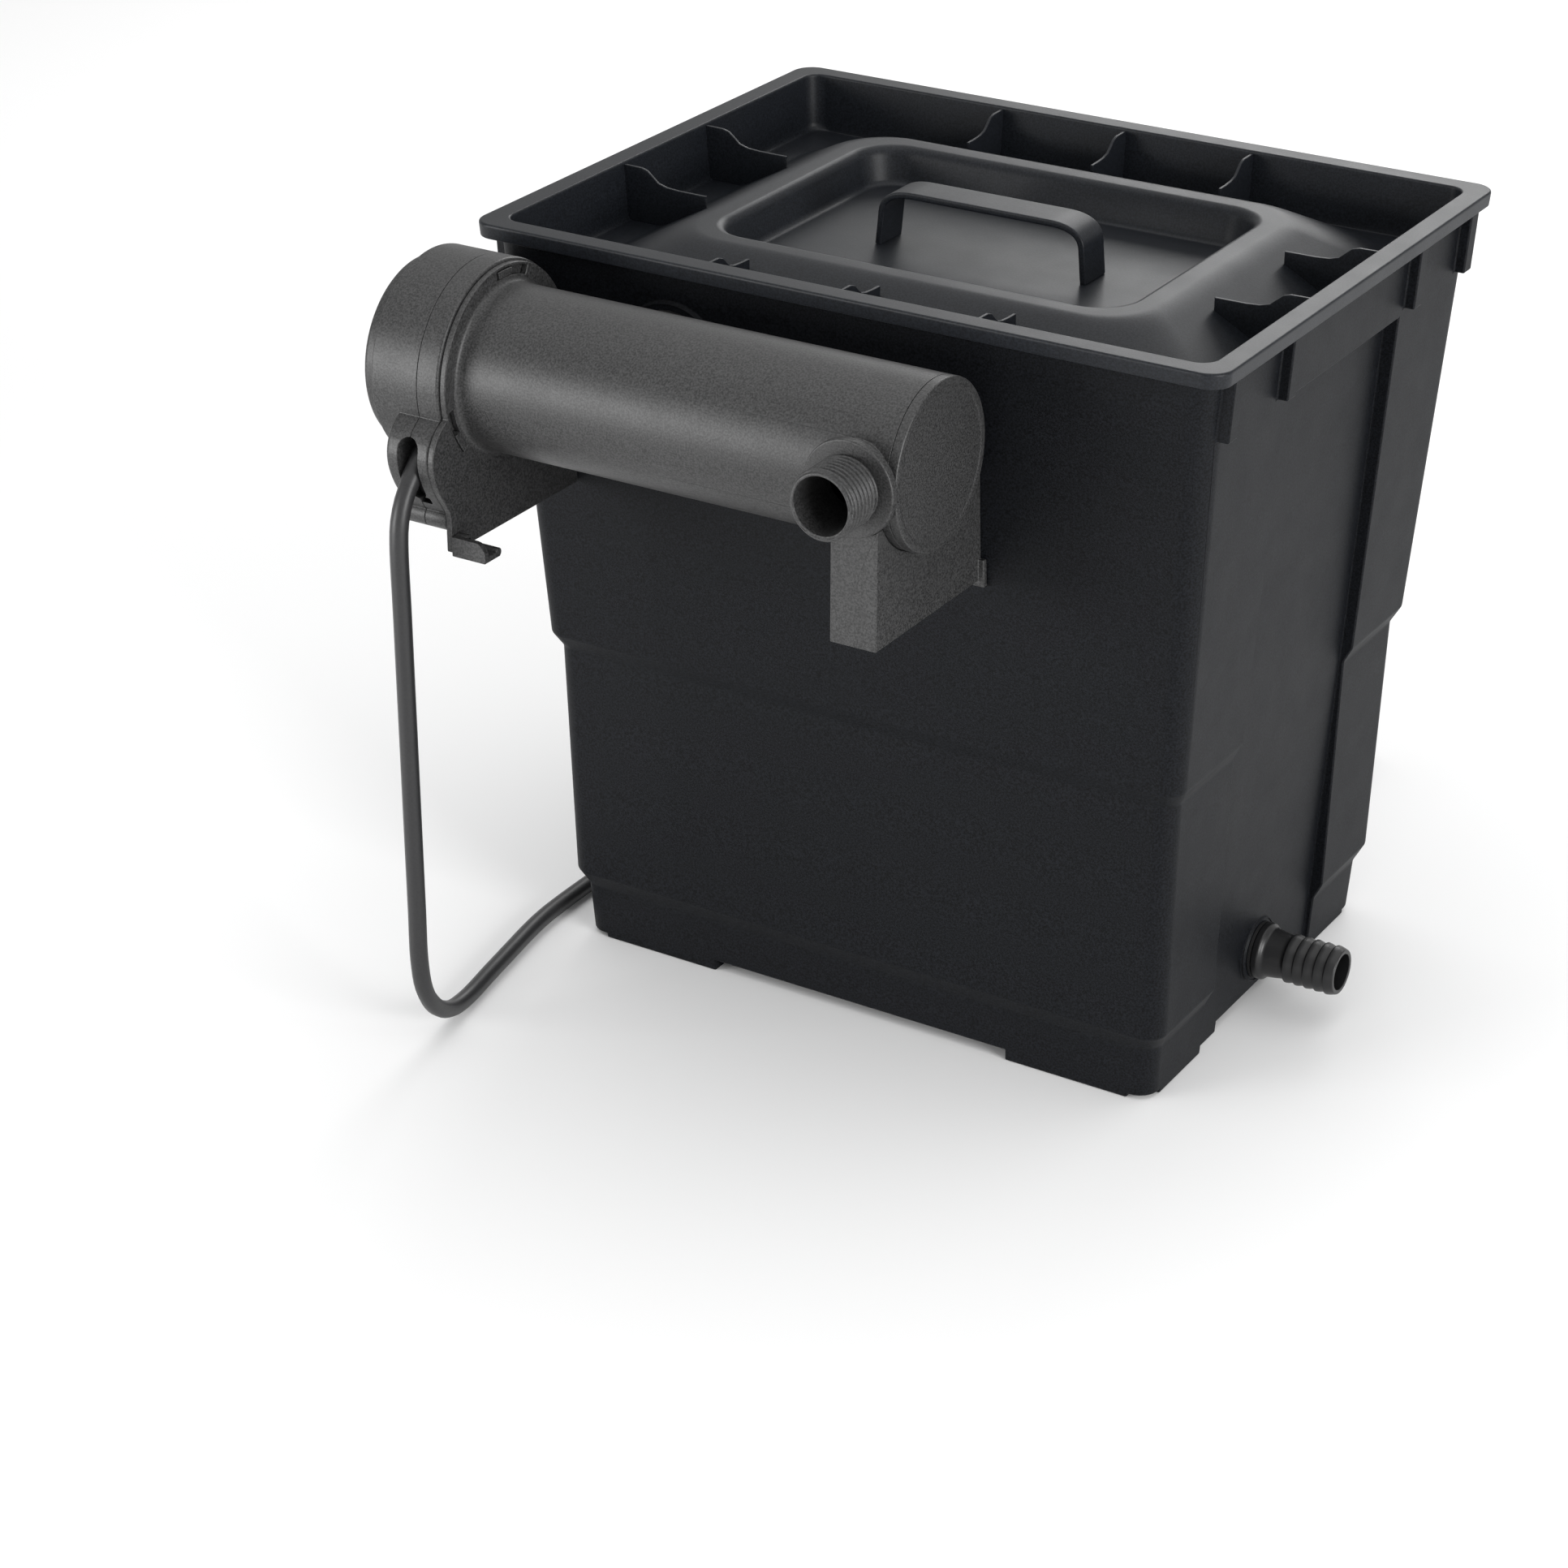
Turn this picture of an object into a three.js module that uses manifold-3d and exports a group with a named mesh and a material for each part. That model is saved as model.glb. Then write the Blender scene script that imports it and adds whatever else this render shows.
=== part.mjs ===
// Box-type pond filter with a screw-on ultraviolet clarifier, millimetres, +Z up.
// The tub, its lid tray, the clarifier on the front wall and the hose outlet are modelled about the
// middle of the tub, standing on Z = 0. The finished group is then moved so that its origin is at the
// bottom centre of everything except the mains lead.
import * as THREE from 'three';
import { mergeVertices } from 'three/addons/utils/BufferGeometryUtils.js';
import Module from 'manifold-3d';

const wasm = await Module();
wasm.setup();

// ---- driving dimensions -------------------------------------------------------------------------
const RIM = { width: 400, depth: 309, top: 396, radius: 11 };
const WALL = 2.4;                        // tub wall
const GAP = 0.3;                         // clearance between pieces that touch
const FLOOR = { top: 9, midFoot: 6, cornerLift: 2.2, footStart: 12, footEnd: 80 };

// How far the outside of the tub wall stands in from the rim, from the top down.
const TUB_PROFILE = [
  { z: 392.7, inset: 7.2 }, { z: 176, inset: 21.2 }, { z: 168, inset: 25.4 },
  { z: 39, inset: 28.4 }, { z: 30, inset: 32.8 }, { z: 0, inset: 34.6 },
];

const RECESS = { halfWidth: 63, top: 354, xTop: 182.9, xFoot: 162.6 };  // panel in each short wall
const RIB = { y: [-132, -71, 71, 132], thick: 9, reach: 6.6, bottom: 358, top: 388.2 };

const LID = { floor: 366, skin: 2.4, wall: 1.9, crest: 387, panel: 368 };
const DOME = { foot: [166, 136], crestOut: [129, 98.5], crestIn: [110, 80], panel: [106.5, 76.5] };
const GUSSET = { thick: 2, sideY: 38, frontX: 72 };
const HANDLE = { halfFoot: 57, halfTop: 44, width: 24, thick: 4, rise: 29 };

const UV = { y: -195.5, z: 345 };         // axis of the clarifier, parallel to X
const TUBE = { radius: 40.3, bore: 37.4, left: -160, right: 79.9, capEnd: 84.9 };
const PLATE = { left: -153.5, right: -150.5, discRadius: 49.8, bottom: 267 };
const INLET = {
  x: 63.5, end: -264, threadRadius: 16, bore: 13.8, neckRadius: 20, collarRadius: 23, collarFace: -241,
};
const OUTLET = { x: -90, flangeRadius: 25, flangeFace: -149.9, stubRadius: 15, bore: 12, end: -118 };
const BRACKET = { left: 52, right: 76, front: -236, top: 325, screwHeights: [283, 303] };

const SEAM = -165.65;                     // plane between the two halves of the lamp head
const HEAD = { radius: 50.3, bore: 47, left: -192, discRadius: 46.3, discEnd: -201, right: -153.8 };
const NOSE = { left: -178.5, slotWidth: 11.6, slotLow: 293, slotHigh: 325.5 };
const ROD = { y: -239, z: 282, radius: 5.8 };
const LUG = { angles: [82, 205, 325], inner: 44.4, outer: 47.9, halfWidth: 6.5, windowHalf: 15 };
const SLEEVE = { radius: 17, glass: 1.6, left: -168, right: 20 };
const LATCH = { y: -239.6, z: 272.4, left: -150.2, right: -131.2, front: -245, foot: 265.7 };

const BARB = { z: 30, flange: 168.1, end: 212, root: 11.4, crest: 12.9, bore: 9.4 };
const GRID = { bottom: 50, top: 54, halfX: 161, halfY: 121 };
const MAT = { halfX: 160.5, halfY: 120.5, thick: 20, first: 55, gap: 0.6, holeRadius: 11 };
const PIPE = { x: 119, y: 0, radius: 9.5, bore: 7.9, top: 215 };

const CABLE = { radius: 4.5, rest: 4.9 };
const COIL = { x: -86.9, y: 211, inner: 38.4, outer: 67.2, height: 46.3 };
const PLUG = { x: 36.4, y: 272.5, z: 18.8, length: 58, radius: 18.5 };

// ---- materials ----------------------------------------------------------------------------------
const finish = (color, roughness, metalness = 0) => new THREE.MeshStandardMaterial({
  color, roughness, metalness,
});
const FINISH = {
  tub: finish(0x23262b, 0.6), lid: finish(0x3a3f46, 0.55), housing: finish(0x3b3b3c, 0.55),
  fitting: finish(0x131315, 0.5), rubber: finish(0x0c0c0d, 0.8), steel: finish(0xa9adb0, 0.3, 1),
  quartz: finish(0xdfeaf0, 0.05), lampGlass: finish(0xeef2f5, 0.2), ceramic: finish(0xd9d6cd, 0.5),
  potting: finish(0x1c1d20, 0.4), blueFoam: finish(0x1b4fb0, 0.95), greyMat: finish(0x5b5e60, 0.95),
  media: finish(0xb9b2a2, 0.9), grid: finish(0x1a1b1d, 0.6), lead: finish(0x18181a, 0.6),
};

// ---- solids -------------------------------------------------------------------------------------
/** Triangles of a geometry with shared corners, facing outwards, without collapsed ones. */
function closedTriangles(geometry) {
  const bare = geometry.clone();
  for (const name of Object.keys(bare.attributes)) if (name !== 'position') bare.deleteAttribute(name);
  const merged = mergeVertices(bare, 1e-4);
  const position = merged.attributes.position;
  const corners = [0, 1, 2].map(() => new THREE.Vector3());
  const triangles = [];
  let volume = 0;
  for (let i = 0; i < merged.index.count; i += 3) {
    const ids = [0, 1, 2].map((k) => merged.index.getX(i + k));
    if (new Set(ids).size < 3) continue;
    ids.forEach((id, k) => corners[k].fromBufferAttribute(position, id));
    volume += corners[0].dot(corners[1].clone().cross(corners[2]));
    triangles.push(ids);
  }
  if (volume < 0) triangles.forEach((ids) => ids.reverse());
  return { position: Float32Array.from(position.array), index: Uint32Array.from(triangles.flat()) };
}

/** A geometry as a solid that can be cut and joined. */
function solid(geometry) {
  const { position, index } = closedTriangles(geometry);
  return new wasm.Manifold(new wasm.Mesh({ numProp: 3, vertProperties: position, triVerts: index }));
}

/** A solid as a geometry. */
function geometryOf(shape) {
  const mesh = shape.getMesh();
  const geometry = new THREE.BufferGeometry();
  geometry.setAttribute('position', new THREE.BufferAttribute(mesh.vertProperties, 3));
  geometry.setIndex(new THREE.BufferAttribute(mesh.triVerts, 1));
  geometry.computeVertexNormals();
  return geometry;
}

const join = (first, ...others) => others.reduce((all, one) => all.add(one), first);
const cut = (first, ...others) => others.reduce((all, one) => all.subtract(one), first);

/** Corner points of a rounded rectangle, counter-clockwise. */
function roundedOutline(halfX, halfY, radius, steps = 5) {
  const points = [];
  const corners = [[1, 1, 0], [-1, 1, 90], [-1, -1, 180], [1, -1, 270]];
  for (const [sx, sy, from] of corners) {
    for (let i = 0; i <= steps; i += 1) {
      const angle = THREE.MathUtils.degToRad(from + (90 * i) / steps);
      points.push(new THREE.Vector2(
        sx * (halfX - radius) + radius * Math.cos(angle),
        sy * (halfY - radius) + radius * Math.sin(angle),
      ));
    }
  }
  return points;
}

/** Solid through rounded rectangles stacked in Z: levels of { z, x, y, r }. */
function stacked(levels, steps = 5) {
  const rings = levels.map((level) => roundedOutline(level.x, level.y, level.r, steps));
  const count = rings[0].length;
  const positions = [];
  rings.forEach((ring, k) => ring.forEach((point) => positions.push(point.x, point.y, levels[k].z)));
  const index = [];
  for (let k = 0; k + 1 < rings.length; k += 1) {
    for (let i = 0; i < count; i += 1) {
      const a = k * count + i;
      const b = k * count + ((i + 1) % count);
      index.push(a, b, b + count, a, b + count, a + count);
    }
  }
  const last = (rings.length - 1) * count;
  for (const [a, b, c] of THREE.ShapeUtils.triangulateShape(rings[0], [])) index.push(c, b, a);
  for (const [a, b, c] of THREE.ShapeUtils.triangulateShape(rings[rings.length - 1], [])) {
    index.push(last + a, last + b, last + c);
  }
  const geometry = new THREE.BufferGeometry();
  geometry.setAttribute('position', new THREE.Float32BufferAttribute(positions, 3));
  geometry.setIndex(index);
  return solid(geometry);
}

/** Box between two corners. */
function block(low, high) {
  const size = high.map((value, k) => value - low[k]);
  const geometry = new THREE.BoxGeometry(...size);
  return solid(geometry.translate(...low.map((value, k) => value + size[k] / 2)));
}

/** Plate with rounded corners about the tub axis. */
function plateZ(halfX, halfY, radius, z0, z1) {
  return stacked([{ z: z0, x: halfX, y: halfY, r: radius }, { z: z1, x: halfX, y: halfY, r: radius }], 3);
}

/** Outline in Y and Z, extruded in X from x0 to x1. */
function prismX(points, x0, x1) {
  const shape = new THREE.Shape(points.map(([y, z]) => new THREE.Vector2(y, z)));
  const geometry = new THREE.ExtrudeGeometry(shape, { depth: x1 - x0, bevelEnabled: false });
  const turn = new THREE.Matrix4().makeBasis(
    new THREE.Vector3(0, 1, 0), new THREE.Vector3(0, 0, 1), new THREE.Vector3(1, 0, 0),
  );
  return solid(geometry.applyMatrix4(turn).translate(x0, 0, 0));
}

/** Outline in X and Z, extruded in Y from y0 to y1. */
function prismY(points, y0, y1) {
  const shape = new THREE.Shape(points.map(([x, z]) => new THREE.Vector2(x, z)));
  const geometry = new THREE.ExtrudeGeometry(shape, { depth: y1 - y0, bevelEnabled: false });
  const turn = new THREE.Matrix4().makeBasis(
    new THREE.Vector3(1, 0, 0), new THREE.Vector3(0, 0, 1), new THREE.Vector3(0, -1, 0),
  );
  return solid(geometry.applyMatrix4(turn).translate(0, y1, 0));
}

const AXIS_TURN = {
  x: (geometry) => geometry.rotateZ(-Math.PI / 2),
  y: (geometry) => geometry,
  z: (geometry) => geometry.rotateX(Math.PI / 2),
};

/** Turned piece: profile of [radius, distance along the axis], closed on itself. */
function turned(profile, axis, [x, y, z], segments = 36, startAngle = 0) {
  const points = [...profile, profile[0]].map(([r, h]) => new THREE.Vector2(r, h));
  const geometry = new THREE.LatheGeometry(points, segments, startAngle);
  return solid(AXIS_TURN[axis](geometry).translate(x, y, z));
}

/** Ring or disc between two distances along an axis; inner 0 gives a plain cylinder. */
function ring(inner, outer, from, to, axis, origin, segments = 36) {
  return turned([[inner, from], [outer, from], [outer, to], [inner, to]], axis, origin, segments);
}

const uvAxis = [0, UV.y, UV.z];
const bracketMiddle = (BRACKET.left + BRACKET.right) / 2;
const uvRing = (inner, outer, from, to, segments = 40) => ring(inner, outer, from, to, 'x', uvAxis, segments);

/** Distance of the outside of the tub wall from the rim at a height. */
function insetAt(z) {
  const k = TUB_PROFILE.findIndex((level) => level.z <= z);
  if (k <= 0) return TUB_PROFILE[Math.max(k, 0)].inset;
  const [high, low] = [TUB_PROFILE[k - 1], TUB_PROFILE[k]];
  return low.inset + ((z - low.z) / (high.z - low.z)) * (high.inset - low.inset);
}
const frontWall = (z) => -(RIM.depth / 2 - insetAt(z));

/** Level of a stacked solid that stands a distance in from the rim. */
const level = (z, inset, r) => ({ z, x: RIM.width / 2 - inset, y: RIM.depth / 2 - inset, r });

// ---- tub ----------------------------------------------------------------------------------------
/** Wedge that is taken out of a short wall to make its recessed panel. */
function recessWedge(grow) {
  const slope = (RECESS.xTop - RECESS.xFoot) / RECESS.top;
  const half = RECESS.halfWidth + grow;
  const top = RECESS.top + grow;
  const right = prismY([
    [RECESS.xTop + slope * grow - grow, top], [RECESS.xFoot - slope * 2 - grow, -2], [230, -2], [230, top],
  ], -half, half);
  return [right, right.mirror([1, 0, 0])];
}

/** Cutters that leave two feet along each bottom edge. */
function footCutters() {
  const halfX = RIM.width / 2 - TUB_PROFILE.at(-1).inset;
  const halfY = RIM.depth / 2 - TUB_PROFILE.at(-1).inset;
  const midX = halfX - FLOOR.footEnd;
  const midY = halfY - FLOOR.footEnd;
  const cutters = [
    block([-midX, -200, -1], [midX, 200, FLOOR.midFoot]),
    block([-250, -midY, -1], [250, midY, FLOOR.midFoot]),
  ];
  for (const sx of [-1, 1]) {
    for (const sy of [-1, 1]) {
      const corner = block([0, 0, -1], [80, 80, FLOOR.cornerLift]);
      cutters.push(corner.translate([
        sx * (halfX - FLOOR.footStart) - (sx < 0 ? 80 : 0),
        sy * (halfY - FLOOR.footStart) - (sy < 0 ? 80 : 0), 0,
      ]));
    }
  }
  return cutters;
}

function filterBox() {
  const radii = [13, 11, 11, 10, 10, 10];
  const outside = stacked(TUB_PROFILE.map(({ z, inset }, k) => level(z, inset, radii[k])));
  const bore = [{ z: 394, inset: 7.1 }, ...TUB_PROFILE.slice(1, -1), { z: FLOOR.top, inset: 34.1 }];
  const inside = stacked(bore.map(({ z, inset }, k) => level(
    k === 0 || k === bore.length - 1 ? z : z + 1, inset + WALL + (k > 1 ? 0.6 : 0), 9,
  )));
  const hollow = cut(inside, ...recessWedge(WALL + 0.6));
  const ribs = RIB.y.flatMap((y) => [-1, 1].map((side) => {
    const wall = RIM.width / 2 - insetAt(RIB.bottom);
    const outline = [
      [wall - 2, RIB.bottom], [wall + 5.6, RIB.bottom], [wall + RIB.reach + 1, RIB.top], [wall - 2, RIB.top],
    ];
    const rib = prismY(outline, y - RIB.thick / 2, y + RIB.thick / 2);
    return side < 0 ? rib.mirror([1, 0, 0]) : rib;
  }));
  const outletPad = ring(0, 28, -147.5, -142, 'y', [OUTLET.x, 0, UV.z]);
  const outletBoss = ring(0, 18, -147.5, -139.5, 'y', [OUTLET.x, 0, UV.z], 28);
  const barbBoss = ring(0, 17, 155, 166, 'x', [0, 0, BARB.z], 28);
  const tub = cut(
    join(cut(outside, ...recessWedge(0)), ...ribs, outletPad, outletBoss, barbBoss),
    cut(hollow, outletBoss, barbBoss), ...footCutters(),
  );
  const holes = [
    ring(0, OUTLET.stubRadius + 0.5, -160, -120, 'y', [OUTLET.x, 0, UV.z], 28),
    ring(0, BARB.root + 0.4, 140, 180, 'x', [0, 0, BARB.z], 28),
    ...BRACKET.screwHeights.map((z) => ring(0, 2.3, -150, -120, 'y', [bracketMiddle, 0, z], 12)),
  ];
  return cut(tub, ...holes);
}

// ---- lid ----------------------------------------------------------------------------------------
/** Plate that stiffens the tray between its side wall and the raised frame. */
function gussets() {
  const alongX = [
    [188.3, 394.6], [177, 394.4], [173, 392.4], [170, 389.4], [166, 387.2], [153, 386.2], [140, 386],
    [140, 365], [187.2, 365],
  ];
  const alongY = [
    [143.2, 394.6], [132, 394.4], [128, 392.3], [124.5, 389.4], [121, 387.5], [110, 386.3], [98.5, 386.2],
    [98.5, 365], [141.8, 365],
  ];
  const half = GUSSET.thick / 2;
  const plates = [];
  for (const y of [-GUSSET.sideY, GUSSET.sideY]) {
    const plate = prismY(alongX, y - half, y + half);
    plates.push(plate, plate.mirror([1, 0, 0]));
  }
  for (const x of [-GUSSET.frontX, 0, GUSSET.frontX]) {
    const plate = prismX(alongY, x - half, x + half);
    plates.push(plate, plate.mirror([0, 1, 0]));
  }
  return plates;
}

function lidTray() {
  const lip = cut(
    stacked([
      level(388.5, 0.6, RIM.radius), level(394.6, 0, RIM.radius), level(RIM.top, 1.2, RIM.radius - 1),
    ]),
    stacked([level(388, 3.2, 9), level(393, 2.8, 9)]),
  );
  const tray = stacked([level(LID.floor - LID.skin, 11.9, 9), level(394, 9.9, 9)]);
  const trayRoom = stacked([
    level(LID.floor, 11.9 + LID.wall, 8), level(394.5, 9.9 + LID.wall, 8),
    level(396.5, 9.9 + LID.wall - 0.9, 9),
  ]);
  const under = LID.floor - LID.skin;
  const at = (z, [x, y], r) => ({ z, x, y, r });
  const dome = stacked([
    at(under, DOME.foot, 42), at(LID.floor, DOME.foot, 42), at(385.6, DOME.crestOut, 30),
    at(LID.crest, DOME.crestOut.map((v) => v - 4), 27),
  ]);
  const panelRoom = stacked([
    at(LID.panel, DOME.panel, 18), at(385, DOME.panel.map((v) => v + 1.8), 19),
    at(LID.crest + 1, DOME.crestIn.map((v) => v + 2.5), 22),
  ]);
  const frameRoom = stacked([
    at(under - 1, DOME.foot.map((v) => v - 5.5), 38), at(384, DOME.crestOut.map((v) => v - 3.8), 27),
    at(384.7, DOME.crestOut.map((v) => v - 5.5), 26),
  ]);
  const panelBlock = stacked([
    at(under - 2, DOME.panel.map((v) => v + 2.4), 19), at(390, DOME.panel.map((v) => v + 4.6), 20),
  ]);
  const underPanel = stacked([
    at(under - 2, DOME.panel.map((v) => v - 0.4), 17),
    at(LID.panel - LID.skin, DOME.panel.map((v) => v - 0.4), 17),
  ]);
  const shell = cut(join(tray, lip), trayRoom);
  const framed = join(shell, dome, ...gussets().map((plate) => plate.subtract(panelRoom)));
  return cut(framed, panelRoom, cut(frameRoom, panelBlock), underPanel);
}

function lidHandle() {
  const base = LID.panel + GAP;
  const top = base + HANDLE.rise;
  const outer = new THREE.Shape();
  outer.moveTo(-HANDLE.halfFoot, base);
  outer.quadraticCurveTo(-HANDLE.halfFoot + 1, top, -HANDLE.halfTop + 4, top);
  outer.lineTo(HANDLE.halfTop - 4, top);
  outer.quadraticCurveTo(HANDLE.halfFoot - 1, top, HANDLE.halfFoot, base);
  outer.lineTo(HANDLE.halfFoot - HANDLE.thick, base);
  outer.quadraticCurveTo(
    HANDLE.halfFoot - HANDLE.thick - 1, top - HANDLE.thick, HANDLE.halfTop - 7, top - HANDLE.thick,
  );
  outer.lineTo(-HANDLE.halfTop + 7, top - HANDLE.thick);
  outer.quadraticCurveTo(
    -HANDLE.halfFoot + HANDLE.thick + 1, top - HANDLE.thick, -HANDLE.halfFoot + HANDLE.thick, base,
  );
  const outline = outer.getPoints(7).map((point) => [point.x, point.y]);
  return prismY(outline.slice(0, -1), -HANDLE.width / 2, HANDLE.width / 2);
}

// ---- clarifier housing --------------------------------------------------------------------------
/** Side view of the cable nose, in Y and Z. */
const NOSE_OUTLINE = [
  [-215, 338], [-236, 338], [-246, 332.5], [-252.5, 327.5], [-256, 320], [-256.6, 313], [-255, 306],
  [-251.5, 298.5], [-247.5, 292.5], [-244.3, 287], [-240, 283], [-232, 283], [-222, 292], [-210, 306],
];

/** Side view of the fixed end plate: nose front, straight foot and rear edge that follows the tub wall. */
function plateOutline() {
  const front = NOSE_OUTLINE.slice(0, 10).map(([y, z]) => [y + (y < -240 ? 0.4 : 0), z]);
  return [
    ...front, [-244.4, 281], [-244.4, PLATE.bottom], [frontWall(PLATE.bottom) - 1, PLATE.bottom],
    [frontWall(UV.z) - 1.2, UV.z], [-170, UV.z + 10],
  ];
}

/** Sector of a ring about the clarifier axis. */
function uvSector(inner, outer, fromDegrees, toDegrees, x0, x1) {
  const steps = 5;
  const arc = (radius, a, b) => Array.from({ length: steps + 1 }, (_, i) => {
    const angle = THREE.MathUtils.degToRad(a + ((b - a) * i) / steps);
    return [UV.y + radius * Math.cos(angle), UV.z + radius * Math.sin(angle)];
  });
  return prismX([...arc(outer, fromDegrees, toDegrees), ...arc(inner, toDegrees, fromDegrees)], x0, x1);
}

function uvcHousing() {
  const inletAxis = [INLET.x, 0, UV.z];
  const outletAxis = [OUTLET.x, 0, UV.z];
  const tube = uvRing(0, TUBE.radius, PLATE.left, TUBE.right, 48);
  const spigot = uvRing(0, 38.3, TUBE.left, PLATE.left + 1, 48);
  const plate = join(
    uvRing(0, PLATE.discRadius, PLATE.left, PLATE.right, 48), prismX(plateOutline(), PLATE.left, PLATE.right),
  );
  const collarBack = UV.y - TUBE.radius - 0.4;
  const inlet = join(
    ring(0, INLET.collarRadius, INLET.collarFace, collarBack, 'y', inletAxis, 36),
    cut(
      ring(0, INLET.neckRadius, INLET.collarFace, -222, 'y', inletAxis, 36),
      block([TUBE.right, collarBack, UV.z - 40], [TUBE.right + 20, -215, UV.z + 40]),
    ),
    ring(0, INLET.threadRadius, INLET.end, INLET.collarFace + 1, 'y', inletAxis, 36),
  );
  const outlet = join(
    ring(0, OUTLET.flangeRadius, -175, OUTLET.flangeFace, 'y', outletAxis, 36),
    ring(0, OUTLET.stubRadius, -175, OUTLET.end, 'y', outletAxis, 28),
  );
  const chamber = uvRing(0, TUBE.bore, -153, TUBE.right + 1, 48);
  const windows = LUG.angles.map((a) => uvSector(
    LUG.inner - 0.5, LUG.outer + 0.5, a - LUG.windowHalf, a + LUG.windowHalf, PLATE.left - 1, PLATE.right + 1,
  ));
  const body = cut(
    join(tube, spigot, plate, inlet, outlet),
    chamber,
    uvRing(0, SLEEVE.radius + 0.5, -170, -140, 36),
    uvRing(24.6, 35.5, TUBE.left - 1, -156.5, 36),
    uvRing(0, 21.4, TUBE.left - 1, -156.5, 36),
    ring(0, INLET.bore, INLET.end - 1, -200, 'y', inletAxis, 28),
    ring(0, OUTLET.bore, -190, OUTLET.end + 1, 'y', outletAxis, 28),
    ring(0, 1.8, PLATE.left - 1, PLATE.right + 1, 'x', [0, LATCH.y, LATCH.z], 12),
    ...windows,
  );
  return join(body, uvRing(21.4, 24.6, -166, -156, 36));
}

function uvcEndCap() {
  const profile = [
    [0, TUBE.right + GAP], [34.5, TUBE.right + GAP], [34.5, 71], [37.1, 71], [37.1, TUBE.right + GAP],
    [TUBE.radius, TUBE.right + GAP], [TUBE.radius, TUBE.capEnd - 0.8], [TUBE.radius - 0.8, TUBE.capEnd],
    [0, TUBE.capEnd],
  ];
  return turned(profile, 'x', uvAxis, 48);
}

function uvcBracket() {
  const foot = PLATE.bottom;
  const rear = (z) => frontWall(z) - GAP;
  const web = prismX([
    [BRACKET.front, foot], [rear(foot), foot], [rear(BRACKET.top), BRACKET.top], [BRACKET.front, BRACKET.top],
  ], BRACKET.left, BRACKET.right);
  const pad = prismX([
    [rear(264) - 3, 264], [rear(264), 264], [rear(278), 278], [rear(278) - 3, 278],
  ], BRACKET.left - 3, BRACKET.right + 3);
  return cut(
    join(web, pad),
    uvRing(0, TUBE.radius + GAP, 0, 130, 48),
    ring(0, INLET.collarRadius + GAP, -260, -215, 'y', [INLET.x, 0, UV.z], 36),
    ...BRACKET.screwHeights.map((z) => ring(0, 2.3, -160, -130, 'y', [bracketMiddle, 0, z], 12)),
  );
}

/** Pan-head screw with its head towards +Y. */
function panScrew(x, y, z, length) {
  return turned([
    [0, -length], [1.9, -length], [1.9, 0], [4.5, 0], [4.5, 1.2], [3.2, 2.6], [0, 3],
  ], 'y', [x, y, z], 14);
}

// ---- release latch ------------------------------------------------------------------------------
function releaseLatch() {
  const wall = prismY([
    [LATCH.left, LATCH.foot], [LATCH.right, LATCH.foot], [LATCH.right, LATCH.foot + 4.5],
    [LATCH.right - 1.6, LATCH.foot + 7.6], [LATCH.right - 4.4, LATCH.foot + 9.4],
    [LATCH.right - 7, LATCH.foot + 9.8], [LATCH.left, LATCH.foot + 9.8],
  ], LATCH.front, LATCH.front + 3);
  const base = block([LATCH.left, LATCH.front, LATCH.foot], [LATCH.right, LATCH.front + 12.5, LATCH.foot + 3.2]);
  const barrel = ring(0, 3.6, LATCH.left, LATCH.left + 6, 'x', [0, LATCH.y, LATCH.z], 20);
  const bore = ring(0, 1.85, LATCH.left - 1, LATCH.left + 7, 'x', [0, LATCH.y, LATCH.z], 12);
  return cut(join(wall, base, barrel), bore);
}

// ---- lamp head ----------------------------------------------------------------------------------
/** Closed outline of the cable slot in X and Z. */
function slotOutline(shrink) {
  const radius = NOSE.slotWidth / 2 - shrink;
  const low = NOSE.slotLow + NOSE.slotWidth / 2;
  const high = NOSE.slotHigh - NOSE.slotWidth / 2;
  const arc = (z, from) => Array.from({ length: 9 }, (_, i) => {
    const angle = THREE.MathUtils.degToRad(from + 22.5 * i);
    return [SEAM + radius * Math.cos(angle), z + radius * Math.sin(angle)];
  });
  return [...arc(high, 0), ...arc(low, 180)];
}

function headHalf(x0, x1) {
  const nose = prismX(NOSE_OUTLINE, Math.max(x0, NOSE.left), x1);
  const rod = ring(0, ROD.radius, Math.max(x0, NOSE.left), x1, 'x', [0, ROD.y, ROD.z], 24);
  return join(uvRing(0, HEAD.radius, x0, x1, 56), nose, rod);
}

function headRing() {
  const lugs = LUG.angles.map((a) => uvSector(
    LUG.inner, LUG.outer, a + LUG.windowHalf - 1 - 2 * LUG.halfWidth, a + LUG.windowHalf - 1,
    HEAD.right - 1, PLATE.right + 0.6,
  ));
  return cut(
    join(headHalf(SEAM + GAP / 2, HEAD.right), ...lugs),
    uvRing(0, HEAD.bore, SEAM - 5, HEAD.right - 3.4, 48),
    uvRing(0, 38.9, SEAM - 5, HEAD.right + 1, 48),
    prismY(slotOutline(0), -262, -222),
    ring(0, 2.1, SEAM - 5, -156, 'x', [0, ROD.y, ROD.z], 12),
  );
}

function headCap() {
  const right = SEAM - GAP / 2;
  return cut(
    join(headHalf(HEAD.left, right), uvRing(0, HEAD.discRadius, HEAD.discEnd, HEAD.left + 1, 48)),
    uvRing(0, HEAD.bore, HEAD.left + 3, right + 1, 48),
    uvRing(0, HEAD.discRadius - 3, HEAD.discEnd + 3, HEAD.left + 4, 48),
    prismY(slotOutline(0), -262, -222),
    ring(0, 2.1, NOSE.left - 1, right + 1, 'x', [0, ROD.y, ROD.z], 12),
    ring(0, 4, NOSE.left - 1, NOSE.left + 4, 'x', [0, ROD.y, ROD.z], 16),
  );
}

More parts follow.
